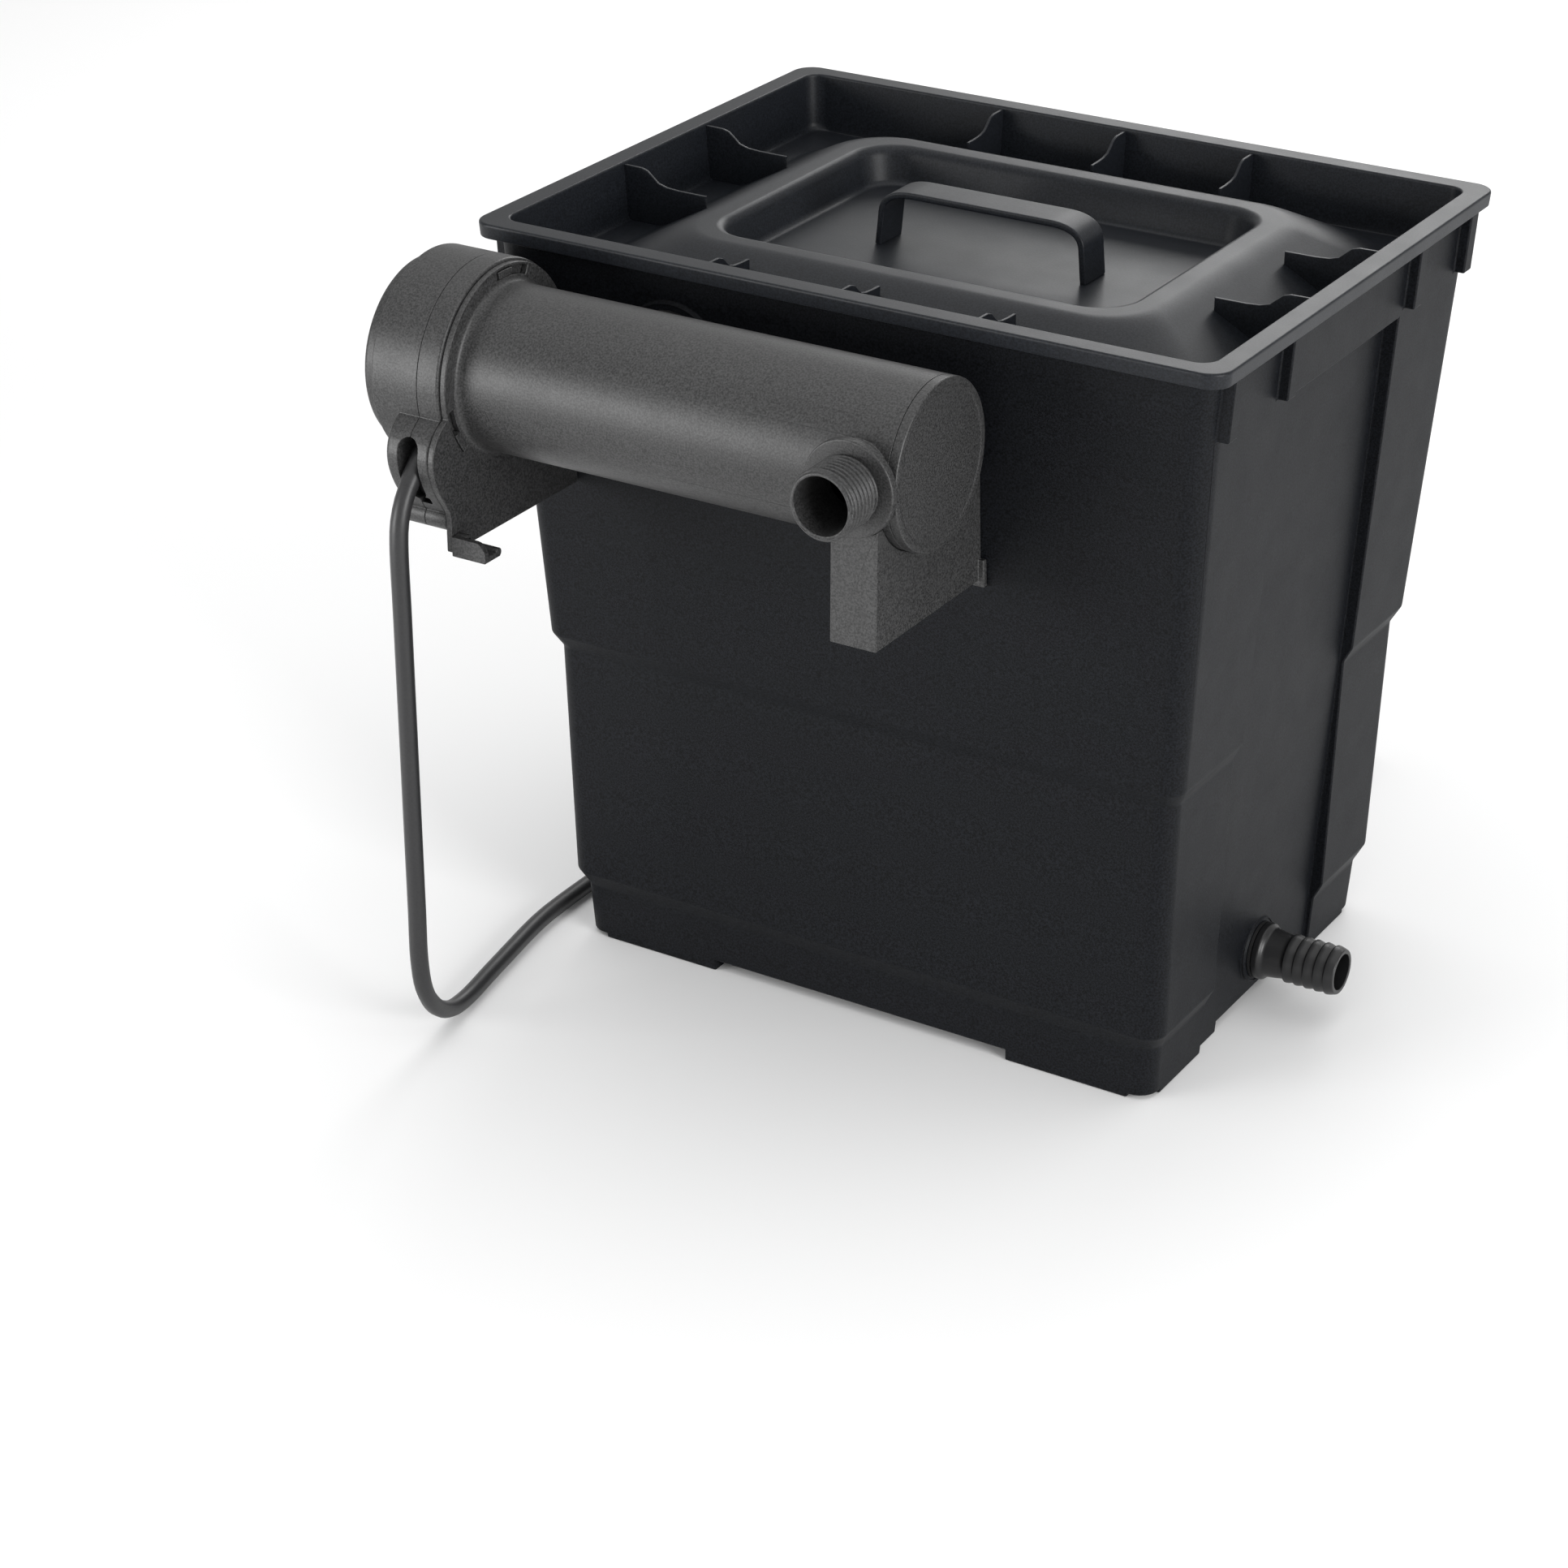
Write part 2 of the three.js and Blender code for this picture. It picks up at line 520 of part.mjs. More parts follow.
function headScrew() {
  return turned([
    [0, NOSE.left + 0.8], [3.6, NOSE.left + 0.8], [3.6, NOSE.left + 3.6], [1.8, NOSE.left + 3.6],
    [1.8, -157], [0, -157],
  ], 'x', [0, ROD.y, ROD.z], 14);
}

function uvLamp() {
  const glass = [7.5, -7.5].map((dz) => ring(0, 6, -171, -8, 'x', [0, UV.y, UV.z + dz], 16));
  return join(
    uvRing(0, 14.4, -182, -170, 24), ...glass,
    block([-16, UV.y - 4, UV.z - 6], [-10, UV.y + 4, UV.z + 6]),
  );
}

function quartzSleeve() {
  const { radius, glass, left, right } = SLEEVE;
  const arc = (r, from, to) => Array.from({ length: 7 }, (_, i) => {
    const angle = THREE.MathUtils.degToRad(from + ((to - from) * i) / 6);
    return [r * Math.cos(angle), right - radius + r * Math.sin(angle)];
  });
  const profile = [[radius - glass, left], [radius, left], ...arc(radius, 0, 90), ...arc(radius - glass, 90, 0)];
  return turned(profile, 'x', uvAxis, 32);
}

function sleeveNut() {
  return turned([
    [17.4, -172], [26, -172], [26, -169.5], [21.1, -169.5], [21.1, -161.5], [17.4, -161.5],
  ], 'x', uvAxis, 32);
}

// ---- water fittings -----------------------------------------------------------------------------
/** Six-sided lock nut with a round bore and a flat side on top. */
function lockNut(bore, cornerRadius, from, to, axis, origin) {
  const profile = [[0, from], [cornerRadius, from], [cornerRadius, to], [0, to]];
  const blank = turned(profile, axis, origin, 6, Math.PI / 6);
  return blank.subtract(ring(0, bore, from - 1, to + 1, axis, origin, 28));
}

function hoseBarb() {
  const start = BARB.flange;
  const ridges = [];
  const pitch = 5.6;
  const first = BARB.end - 5 * pitch;
  for (let i = 0; i < 5; i += 1) {
    const x = first + pitch * i;
    ridges.push([BARB.crest, x], [BARB.root + 0.4, x + pitch - 0.01]);
  }
  return turned([
    [BARB.bore, 148], [BARB.root, 148], [BARB.root, start], [14.8, start], [14.8, start + 3.4],
    [12.8, start + 5], [BARB.root, first - 1], ...ridges, [BARB.bore, BARB.end],
  ], 'x', [0, 0, BARB.z], 32);
}

function inletElbow() {
  const across = [OUTLET.x, 0, UV.z];
  const down = [OUTLET.x, -103, 0];
  return cut(
    join(ring(0, 17.4, -131, -103, 'y', across, 28), ring(0, 17.4, 272, 362, 'z', down, 28)),
    ring(0, 15.3, -132, -103, 'y', across, 24), ring(0, 15.3, 271, 359.5, 'z', down, 24),
  );
}

// ---- filter media -------------------------------------------------------------------------------
function supportGrid() {
  const openings = [];
  for (let column = -2.5; column <= 2.5; column += 1) {
    for (let row = -1.5; row <= 1.5; row += 1) {
      const [x, y] = [column * 52, row * 58];
      openings.push(block([x - 21, y - 24, GRID.bottom - 1], [x + 21, y + 24, GRID.top + 1]));
    }
  }
  const plate = cut(plateZ(GRID.halfX, GRID.halfY, 6, GRID.bottom, GRID.top), ...openings);
  const seat = ring(0, PIPE.radius + 3, GRID.bottom, GRID.top, 'z', [PIPE.x, PIPE.y, 0], 24);
  const legs = [-1, 1].flatMap((sx) => [-1, 1].map((sy) => block(
    [sx * 148 - 5, sy * 104 - 5, FLOOR.top + GAP], [sx * 148 + 5, sy * 104 + 5, GRID.bottom + 1],
  )));
  const drain = ring(0, PIPE.bore - 1, GRID.bottom - 1, GRID.top + 1, 'z', [PIPE.x, PIPE.y, 0], 24);
  return cut(join(plate, seat, ...legs), drain);
}

function filterMat(order) {
  const bottom = MAT.first + order * (MAT.thick + MAT.gap);
  const top = bottom + MAT.thick;
  const hole = ring(0, MAT.holeRadius, bottom - 1, top + 1, 'z', [PIPE.x, PIPE.y, 0], 24);
  return plateZ(MAT.halfX, MAT.halfY, 12, bottom, top).subtract(hole);
}

function mediaBag() {
  const bottom = MAT.first + 3 * (MAT.thick + MAT.gap) + 0.5;
  const rise = [[0, 92, 66], [6, 100, 74], [14, 102, 76], [24, 96, 70], [30, 78, 52]];
  return stacked(rise.map(([dz, x, y]) => ({ z: bottom + dz, x, y, r: 24 })), 4).translate([-40, 0, 0]);
}

// ---- mains lead ---------------------------------------------------------------------------------
// Route from the gland to the coil: out of the nose, straight down, round the left side of the tub.
const LEAD_ROUTE = [
  [SEAM, -247, 311.4], [SEAM, -250.4, 308], [SEAM, -253.8, 304.6], [SEAM, -260.1, 296.3],
  [SEAM, -264.1, 286.7], [SEAM, -265.5, 276.3], [SEAM, -265.5, 240], [SEAM, -265.5, 200],
  [SEAM, -265.5, 160], [SEAM, -265.5, 120], [SEAM, -265.5, 80], [SEAM, -265.5, 52.9],
  [-166.3, -261.9, 34.5], [-168.1, -251.7, 19], [-170.8, -236.3, 8.6], [-174, -218.2, CABLE.rest],
  [-179.2, -188.7, CABLE.rest], [-183.1, -166.5, CABLE.rest], [-187, -144.3, CABLE.rest],
  [-189.2, -127, CABLE.rest], [-190, -109.7, CABLE.rest], [-190, -60, CABLE.rest],
  [-190, 0, CABLE.rest], [-190, 50, CABLE.rest], [-190, 90.4, CABLE.rest], [-187.5, 106.2, CABLE.rest],
  [-180.4, 120.5, CABLE.rest], [-169.2, 132, CABLE.rest], [-158, 143.5, CABLE.rest],
  [-150.9, 157.8, CABLE.rest], [-148.4, 173.6, CABLE.rest],
];
// Route from the top of the coil to the plug.
const TAIL_ROUTE = [
  [-49.4, 272.5, 40.6], [-38, 272.5, 39.5], [-26, 272.5, 36.4], [-12, 272.5, 31], [2, 272.5, 25.2],
  [14, 272.5, 21.1], [24, 272.5, 19.2], [31, 272.5, 18.8], [36, 272.5, 18.8],
];
/** Round lead along a smooth curve through the points. */
function lead(points, steps) {
  const through = points.map((point) => new THREE.Vector3(...point));
  const path = new THREE.CatmullRomCurve3(through, false, 'centripetal');
  const section = new THREE.Shape(Array.from({ length: 10 }, (_, i) => new THREE.Vector2(
    CABLE.radius * Math.cos((i * Math.PI) / 5), CABLE.radius * Math.sin((i * Math.PI) / 5),
  )));
  return solid(new THREE.ExtrudeGeometry(section, { steps, extrudePath: path, bevelEnabled: false }));
}

function mainsPlug() {
  const { x, y, z, length, radius } = PLUG;
  const body = turned([
    [0, x], [6.5, x], [7.5, x + 18], [12, x + 22], [radius, x + 30], [radius, x + length], [0, x + length],
  ], 'x', [0, y, z], 28);
  const pins = [-9.5, 9.5].map((dy) => ring(0, 2.4, x + length - 1, x + length + 19, 'x', [0, y + dy, z], 12));
  return join(body, ...pins);
}

// ---- assembly -----------------------------------------------------------------------------------
const filter = new THREE.Group();
const site = new THREE.Group();
filter.add(site);

/** Adds one named piece to the assembly. */
function piece(name, shape, material) {
  const mesh = new THREE.Mesh(geometryOf(shape), material);
  mesh.name = name;
  site.add(mesh);
}

const outletAxis = [OUTLET.x, 0, UV.z];
const barbAxis = [0, 0, BARB.z];

piece('filter_box', filterBox(), FINISH.tub);
piece('lid_tray', lidTray(), FINISH.lid);
piece('lid_handle', lidHandle(), FINISH.lid);

piece('uvc_housing', uvcHousing(), FINISH.housing);
piece('uvc_end_cap', uvcEndCap(), FINISH.housing);
piece('uvc_bracket', uvcBracket(), FINISH.housing);
BRACKET.screwHeights.forEach((z, i) => {
  const head = frontWall(z) + WALL + 0.8;
  piece(`bracket_screw_${i + 1}`, panScrew(bracketMiddle, head, z, 14), FINISH.steel);
});
piece('uvc_outlet_seal', ring(15.4, 24.5, -149.6, -147.8, 'y', outletAxis, 28), FINISH.rubber);
piece('uvc_outlet_lock_nut', lockNut(15.4, 20.4, -139.2, -132, 'y', outletAxis), FINISH.fitting);
piece('inlet_elbow', inletElbow(), FINISH.fitting);
piece('quartz_sleeve', quartzSleeve(), FINISH.quartz);
piece('sleeve_o_ring', uvRing(17.4, 21, -161.2, -158.4, 28), FINISH.rubber);
piece('sleeve_nut', sleeveNut(), FINISH.fitting);
piece('head_o_ring', uvRing(38.6, 41.6, -160, -157.6, 36), FINISH.rubber);

piece('head_ring', headRing(), FINISH.housing);
piece('head_cap', headCap(), FINISH.housing);
piece('head_screw', headScrew(), FINISH.steel);
piece('cable_grommet', prismY(slotOutline(GAP), -243, -236), FINISH.rubber);
piece('lamp_socket', uvRing(0, 17, -190, -182.3, 24), FINISH.ceramic);
piece('uv_lamp', uvLamp(), FINISH.lampGlass);
piece('ballast', block([-188.5, UV.y - 24, UV.z - 37], [-174, UV.y + 24, UV.z - 23]), FINISH.potting);
piece('safety_switch', block([-188.5, UV.y - 7, UV.z + 24], [-176, UV.y + 7, UV.z + 33]), FINISH.potting);

piece('release_latch', releaseLatch(), FINISH.housing);
piece('latch_pin', ring(0, 1.5, PLATE.left + 0.2, LATCH.left + 9, 'x', [0, LATCH.y, LATCH.z], 12), FINISH.steel);

piece('outlet_hose_barb', hoseBarb(), FINISH.fitting);
piece('outlet_seal', ring(12, 14.8, 166.3, 167.8, 'x', barbAxis, 28), FINISH.rubber);
piece('outlet_lock_nut', lockNut(11.7, 17, 151, 154.7, 'x', barbAxis), FINISH.fitting);

piece('support_grid', supportGrid(), FINISH.grid);
piece('fine_mat', filterMat(0), FINISH.blueFoam);
piece('medium_mat', filterMat(1), FINISH.blueFoam);
piece('coarse_mat', filterMat(2), FINISH.greyMat);
piece('media_bag', mediaBag(), FINISH.media);
piece('overflow_pipe', ring(PIPE.bore, PIPE.radius, GRID.top + GAP, PIPE.top, 'z', [PIPE.x, PIPE.y, 0], 28),
  FINISH.fitting);

piece('mains_cable', lead(LEAD_ROUTE, 76), FINISH.lead);
piece('cable_coil', ring(COIL.inner, COIL.outer, 0.1, COIL.height, 'z', [COIL.x, COIL.y, 0], 32), FINISH.lead);
piece('cable_tail', lead(TAIL_ROUTE, 8), FINISH.lead);
piece('mains_plug', mainsPlug(), FINISH.rubber);

// The origin is at the bottom centre of the filter without its mains lead.
const extent = { left: HEAD.discEnd, right: BARB.end, front: INLET.end, back: RIM.depth / 2 };
site.position.set(-(extent.left + extent.right) / 2, -(extent.front + extent.back) / 2, 0);

export default filter;
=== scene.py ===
"""Looks of a box-type pond filter with a screw-on ultraviolet clarifier.

Every sub-assembly is a class that holds its sizes in millimetres about the middle of the tub, builds its
meshes with bmesh operators, and dresses them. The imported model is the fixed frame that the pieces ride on.
"""

import logging
import math
from dataclasses import dataclass
from enum import Enum
from typing import Callable, Iterable, Sequence

import bmesh
import bpy
from mathutils import Matrix, Vector, noise


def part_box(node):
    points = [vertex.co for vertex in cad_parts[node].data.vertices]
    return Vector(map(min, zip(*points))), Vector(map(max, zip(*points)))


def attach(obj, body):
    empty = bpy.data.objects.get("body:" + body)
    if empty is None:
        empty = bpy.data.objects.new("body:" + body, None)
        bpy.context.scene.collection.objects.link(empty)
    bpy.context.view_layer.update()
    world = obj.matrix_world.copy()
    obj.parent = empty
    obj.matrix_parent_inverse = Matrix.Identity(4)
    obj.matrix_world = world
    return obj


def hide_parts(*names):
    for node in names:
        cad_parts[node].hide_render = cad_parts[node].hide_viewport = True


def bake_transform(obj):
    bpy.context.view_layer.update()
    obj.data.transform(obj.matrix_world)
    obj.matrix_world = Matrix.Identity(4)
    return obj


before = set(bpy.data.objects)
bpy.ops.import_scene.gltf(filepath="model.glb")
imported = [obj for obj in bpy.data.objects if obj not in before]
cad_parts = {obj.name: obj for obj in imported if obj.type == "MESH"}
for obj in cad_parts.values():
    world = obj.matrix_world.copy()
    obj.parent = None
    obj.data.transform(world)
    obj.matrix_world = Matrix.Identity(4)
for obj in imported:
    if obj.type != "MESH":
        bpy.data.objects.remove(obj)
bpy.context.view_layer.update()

LOG = logging.getLogger("pond_filter")
MM = 0.001
HALF_X = 200.0  # Half sizes of the rim that the tub and the lid share, in millimetres.
HALF_Y = 154.5
Mesh = bmesh.types.BMesh
Face = bmesh.types.BMFace
Piece = bpy.types.Object
Material = bpy.types.Material
Socket = bpy.types.NodeSocket
Outline = Sequence[Sequence[float]]
Colour = tuple[float, float, float]


# ---------------------------------------------------------------------------------------------- site
def tub_centre() -> Vector:
    """Middle of the tub on the ground, in metres, from the lid that covers it."""
    low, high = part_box("lid_tray")
    return Vector(((low.x + high.x) / 2, (low.y + high.y) / 2, 0.0))


CENTRE = tub_centre()


def to_frame(point: Sequence[float]) -> Vector:
    """A point in millimetres about the tub's middle, in metres in the model's frame."""
    return CENTRE + Vector(point) * MM


class Axis(Enum):
    """Direction that a turned or extruded shape runs along."""

    X = "x"
    Y = "y"
    Z = "z"

    @property
    def vector(self) -> Vector:
        """Unit vector of the axis."""
        return Vector({"x": (1, 0, 0), "y": (0, 1, 0), "z": (0, 0, 1)}[self.value])

    def at(self, along: float, first: float, second: float) -> Vector:
        """Point at a distance along the axis and two offsets across it, in X, Y, Z order."""
        order = {"x": (along, first, second), "y": (first, along, second), "z": (first, second, along)}
        return Vector(order[self.value])


# ------------------------------------------------------------------------------------- mesh workshop
@dataclass(frozen=True)
class Level:
    """One rounded rectangle of a stacked shape.

    Args:
        z: Height.
        x: Half size along X.
        y: Half size along Y.
        radius: Corner radius.
        ease: How far the change of slope at this level is rounded.
    """

    z: float
    x: float
    y: float
    radius: float
    ease: float = 0.0

    @property
    def numbers(self) -> Vector:
        """The level as one vector."""
        return Vector((self.z, self.x, self.y, self.radius))


def rim_level(z: float, inset: float, radius: float, ease: float = 0.0) -> Level:
    """Level that stands a distance in from the rim."""
    return Level(z, HALF_X - inset, HALF_Y - inset, radius, ease)


def eased(points: Sequence[Vector], reaches: Sequence[float], closed: bool, steps: int = 4) -> list[Vector]:
    """Rounds the corners of a chain of points.

    Args:
        points: Corners, of any dimension.
        reaches: Distance from each corner at which its rounding starts.
        closed: Whether the last corner joins the first.
        steps: Pieces in each rounding.

    Returns:
        The chain with each corner replaced by a short curve.
    """
    result: list[Vector] = []
    count = len(points)
    for i, corner in enumerate(points):
        at_end = not closed and i in (0, count - 1)
        if reaches[i] <= 0 or at_end:
            result.append(corner.copy())
            continue
        back = points[i - 1] - corner
        ahead = points[(i + 1) % count] - corner
        start = corner + back * min(0.48, reaches[i] / back.length)
        end = corner + ahead * min(0.48, reaches[i] / ahead.length)
        for k in range(steps + 1):
            t = k / steps
            result.append(start * (1 - t) ** 2 + corner * 2 * t * (1 - t) + end * t**2)
    return result


def soft_outline(corners: Outline, reach: float = 0.5, closed: bool = True, steps: int = 3) -> list[Vector]:
    """Outline in two dimensions with rounded corners; a third number in a corner is its own reach."""
    points = [Vector(corner[:2]) for corner in corners]
    reaches = [corner[2] if len(corner) > 2 else reach for corner in corners]
    return eased(points, reaches, closed, steps)


def settle(bm: Mesh) -> Mesh:
    """Merges doubled corners and turns every face outwards."""
    bmesh.ops.remove_doubles(bm, verts=bm.verts[:], dist=1e-4)
    bmesh.ops.recalc_face_normals(bm, faces=bm.faces[:])
    return bm


def round_edges(bm: Mesh, size: float, angle: float = 30, segments: int = 2) -> Mesh:
    """Bevels the edges where two faces meet at more than an angle in degrees."""
    limit = math.radians(angle)
    sharp = [e for e in bm.edges if len(e.link_faces) == 2 and e.calc_face_angle() > limit]
    bmesh.ops.bevel(
        bm, geom=sharp, affect="EDGES", offset=size, offset_type="OFFSET", segments=segments, profile=0.5,
        material=-1, clamp_overlap=True,
    )
    return bm


def rounded_face(bm: Mesh, level: Level, steps: int) -> Face:
    """Flat rounded rectangle at a level, as the single face of a new mesh."""
    bmesh.ops.create_grid(bm, x_segments=1, y_segments=1, size=1)
    for vert in bm.verts:
        vert.co = Vector((vert.co.x * level.x, vert.co.y * level.y, level.z))
    bmesh.ops.bevel(
        bm, geom=bm.verts[:], affect="VERTICES", offset=level.radius, offset_type="OFFSET", segments=steps,
        profile=0.5, material=-1,
    )
    return bm.faces[:][0]


def stacked(levels: Sequence[Level], steps: int = 10, open_start: bool = False) -> Mesh:
    """Shape through rounded rectangles, one above or inside the other.

    Args:
        levels: The rectangles in order.
        steps: Pieces in each corner.
        open_start: Whether the first rectangle is left open.

    Returns:
        The mesh, closed unless its start is open.
    """
    chain = eased([one.numbers for one in levels], [one.ease for one in levels], closed=False)
    rings = [Level(*numbers) for numbers in chain]
    bm = bmesh.new()
    face = rounded_face(bm, rings[0], steps)
    first = face
    for before, after in zip(rings, rings[1:]):
        grown = bmesh.ops.extrude_face_region(bm, geom=[face, *face.edges])["geom"]
        face = next(item for item in grown if isinstance(item, Face))
        for vert in face.verts:
            side_x = math.copysign(1, vert.co.x)
            side_y = math.copysign(1, vert.co.y)
            corner = Vector((
                side_x * (before.x - before.radius), side_y * (before.y - before.radius), before.z,
            ))
            arm = (vert.co - corner) * (after.radius / before.radius)
            vert.co = Vector((
                side_x * (after.x - after.radius) + arm.x, side_y * (after.y - after.radius) + arm.y, after.z,
            ))
    if open_start:
        bmesh.ops.delete(bm, geom=[first], context="FACES_ONLY")
    bmesh.ops.recalc_face_normals(bm, faces=bm.faces[:])
    return bm


def turned(profile: Iterable[Sequence[float]], axis: Axis, centre: Sequence[float], steps: int = 96) -> Mesh:
    """Shape turned about an axis.

    Args:
        profile: Points of (distance along the axis, radius). It closes on itself, or starts and ends on
            the axis.
        axis: Direction of the axis.
        centre: A point on the axis from which the distances count.
        steps: Pieces in a full turn.

    Returns:
        The closed mesh.
    """
    bm = bmesh.new()
    points = [tuple(point) for point in profile]
    verts = [bm.verts.new(axis.at(along, radius, 0)) for along, radius, *_ in points]
    pairs = list(zip(verts, verts[1:]))
    if points[0][1] > 1e-6:
        pairs.append((verts[-1], verts[0]))
    edges = [bm.edges.new(pair) for pair in pairs]
    bmesh.ops.spin(
        bm, geom=verts + edges, cent=(0, 0, 0), axis=axis.vector, angle=math.tau, steps=steps, use_merge=True,
        use_duplicate=False,
    )
    bmesh.ops.translate(bm, verts=bm.verts[:], vec=Vector(centre))
    return settle(bm)


def pipe(
    inner: float, outer: float, start: float, end: float, axis: Axis, centre: Sequence[float],
    ease: float = 0.4, steps: int = 96,
) -> Mesh:
    """Ring between two distances along an axis, with softened edges; inner 0 gives a solid rod."""
    low, high = min(start, end), max(start, end)
    if inner > 0:
        corners = [(low, inner), (low, outer), (high, outer), (high, inner)]
        return turned(soft_outline(corners, ease), axis, centre, steps)
    corners = [(low, 0, 0), (low, outer), (high, outer), (high, 0, 0)]
    return turned(soft_outline(corners, ease, closed=False), axis, centre, steps)


def prism(outline: Outline, axis: Axis, start: float, end: float, ease: float = 0.0) -> Mesh:
    """Outline across an axis, extruded between two distances along it, with its edges rounded by ease."""
    bm = bmesh.new()
    face = bm.faces.new([bm.verts.new(axis.at(start, point[0], point[1])) for point in outline])
    grown = bmesh.ops.extrude_face_region(bm, geom=[face])["geom"]
    moved = [item for item in grown if isinstance(item, bmesh.types.BMVert)]
    bmesh.ops.translate(bm, verts=moved, vec=axis.vector * (end - start))
    settle(bm)
    return round_edges(bm, ease) if ease > 0 else bm


def block(low: Sequence[float], high: Sequence[float], ease: float = 0.0) -> Mesh:
    """Box between two corners, with its edges rounded by ease."""
    bm = bmesh.new()
    bmesh.ops.create_cube(bm, size=1)
    size = Vector(high) - Vector(low)
    bmesh.ops.scale(bm, verts=bm.verts[:], vec=size)
    bmesh.ops.translate(bm, verts=bm.verts[:], vec=(Vector(high) + Vector(low)) / 2)
    return round_edges(bm, ease) if ease > 0 else bm


def swept(section: Sequence[Vector], path: Sequence[Vector], across: Vector) -> Mesh:
    """Section carried along a flat path.

    Args:
        section: Points of the section: first number across the path's plane, second in it.
        path: Centre line.
        across: Normal of the path's plane.

    Returns:
        The closed mesh.
    """
    def frame_at(i: int) -> tuple[Vector, Vector]:
        """Centre and in-plane normal of the path at a point."""
        ahead = path[min(i + 1, len(path) - 1)] - path[max(i - 1, 0)]
        return path[i], across.cross(ahead.normalized())

    bm = bmesh.new()
    centre, side = frame_at(0)
    face = bm.faces.new([bm.verts.new(centre + across * p.x + side * p.y) for p in section])
    for i in range(1, len(path)):
        old_centre, old_side = frame_at(i - 1)
        new_centre, new_side = frame_at(i)
        grown = bmesh.ops.extrude_face_region(bm, geom=[face, *face.edges])["geom"]
        face = next(item for item in grown if isinstance(item, Face))
        for vert in face.verts:
            arm = vert.co - old_centre
            vert.co = new_centre + across * arm.dot(across) + new_side * arm.dot(old_side)
    return settle(bm)


def to_object(bm: Mesh, name: str) -> Piece:
    """Object for a mesh, which it uses up."""
    mesh = bpy.data.meshes.new(name)
    bm.to_mesh(mesh)
    bm.free()
    made = bpy.data.objects.new(name, mesh)
    bpy.context.scene.collection.objects.link(made)
    return made


def evaluated(holder: Piece) -> Mesh:
    """Mesh of an object with its modifiers applied."""
    graph = bpy.context.evaluated_depsgraph_get()
    mesh = bpy.data.meshes.new_from_object(holder.evaluated_get(graph))
    bm = bmesh.new()
    bm.from_mesh(mesh)
    bpy.data.meshes.remove(mesh)
    return bm


def combined(base: Mesh, add: Iterable[Mesh] = (), cut: Iterable[Mesh] = ()) -> Mesh:
    """Joins closed meshes to a base and then cuts others out of it.

    Args:
        base: The mesh to start from.
        add: Meshes to join to it.
        cut: Meshes to cut out of the result.

    Returns:
        The new closed mesh. The meshes given are used up.
    """
    holder = to_object(base, "base")
    tools: list[Piece] = []
    for operation, shapes in (("UNION", add), ("DIFFERENCE", cut)):
        for shape in shapes:
            tool = to_object(shape, "tool")
            tools.append(tool)
            modifier = holder.modifiers.new("combine", "BOOLEAN")
            modifier.operation = operation
            modifier.solver = "MANIFOLD"
            modifier.object = tool
    bm = evaluated(holder)
    for used in [holder, *tools]:
        mesh = used.data
        bpy.data.objects.remove(used)
        bpy.data.meshes.remove(mesh)
    if not bm.faces:
        raise ValueError("combining the shapes left nothing")
    bmesh.ops.dissolve_degenerate(bm, dist=1e-3, edges=bm.edges[:])
    return bm


def joined(base: Mesh, parts: Iterable[Mesh]) -> Mesh:
    """Shapes put into one mesh as they stand, each of them closed.

    Args:
        base: Shape that takes the others in.
        parts: The others, which are used up.

    Returns:
        The first shape, with the others in it.
    """
    for part in parts:
        carrier = bpy.data.meshes.new("part")
        part.to_mesh(carrier)
        part.free()
        base.from_mesh(carrier)
        bpy.data.meshes.remove(carrier)
    return base


def mirrored(shape: Mesh, sides: Vector) -> Mesh:
    """Copy of a mesh turned over across the axes whose number in sides is -1."""
    copy = shape.copy()
    bmesh.ops.scale(copy, verts=copy.verts[:], vec=sides)
    bmesh.ops.recalc_face_normals(copy, faces=copy.faces[:])
    return copy


def both_sides(shape: Mesh, sides: Sequence[float] = (-1, 1, 1)) -> list[Mesh]:
    """A mesh and its mirror image, across X unless the sides say otherwise."""
    return [shape, mirrored(shape, Vector(sides))]


def smooth_route(points: Outline, step: float) -> list[Vector]:
    """Centripetal curve through given points, sampled about every step.

    Args:
        points: The points in millimetres.
        step: Wanted distance between the samples.

    Returns:
        The samples, first and last point included.
    """
    line = [Vector(point) for point in points]
    line = [line[0] * 2 - line[1], *line, line[-1] * 2 - line[-2]]
    samples: list[Vector] = []
    for before, start, end, after in zip(line, line[1:], line[2:], line[3:]):
        gaps = [math.sqrt((b - a).length) for a, b in ((before, start), (start, end), (end, after))]
        along = (end - start) / gaps[1]
        leave = ((start - before) / gaps[0] - (end - before) / (gaps[0] + gaps[1]) + along) * gaps[1]
        arrive = (along - (after - start) / (gaps[1] + gaps[2]) + (after - end) / gaps[2]) * gaps[1]
        count = max(1, round((end - start).length / step))
        for k in range(count):
            t = k / count
            samples.append(
                start * (2 * t**3 - 3 * t**2 + 1) + leave * (t**3 - 2 * t**2 + t)
                + end * (3 * t**2 - 2 * t**3) + arrive * (t**3 - t**2)
            )
    samples.append(line[-2])
    return samples


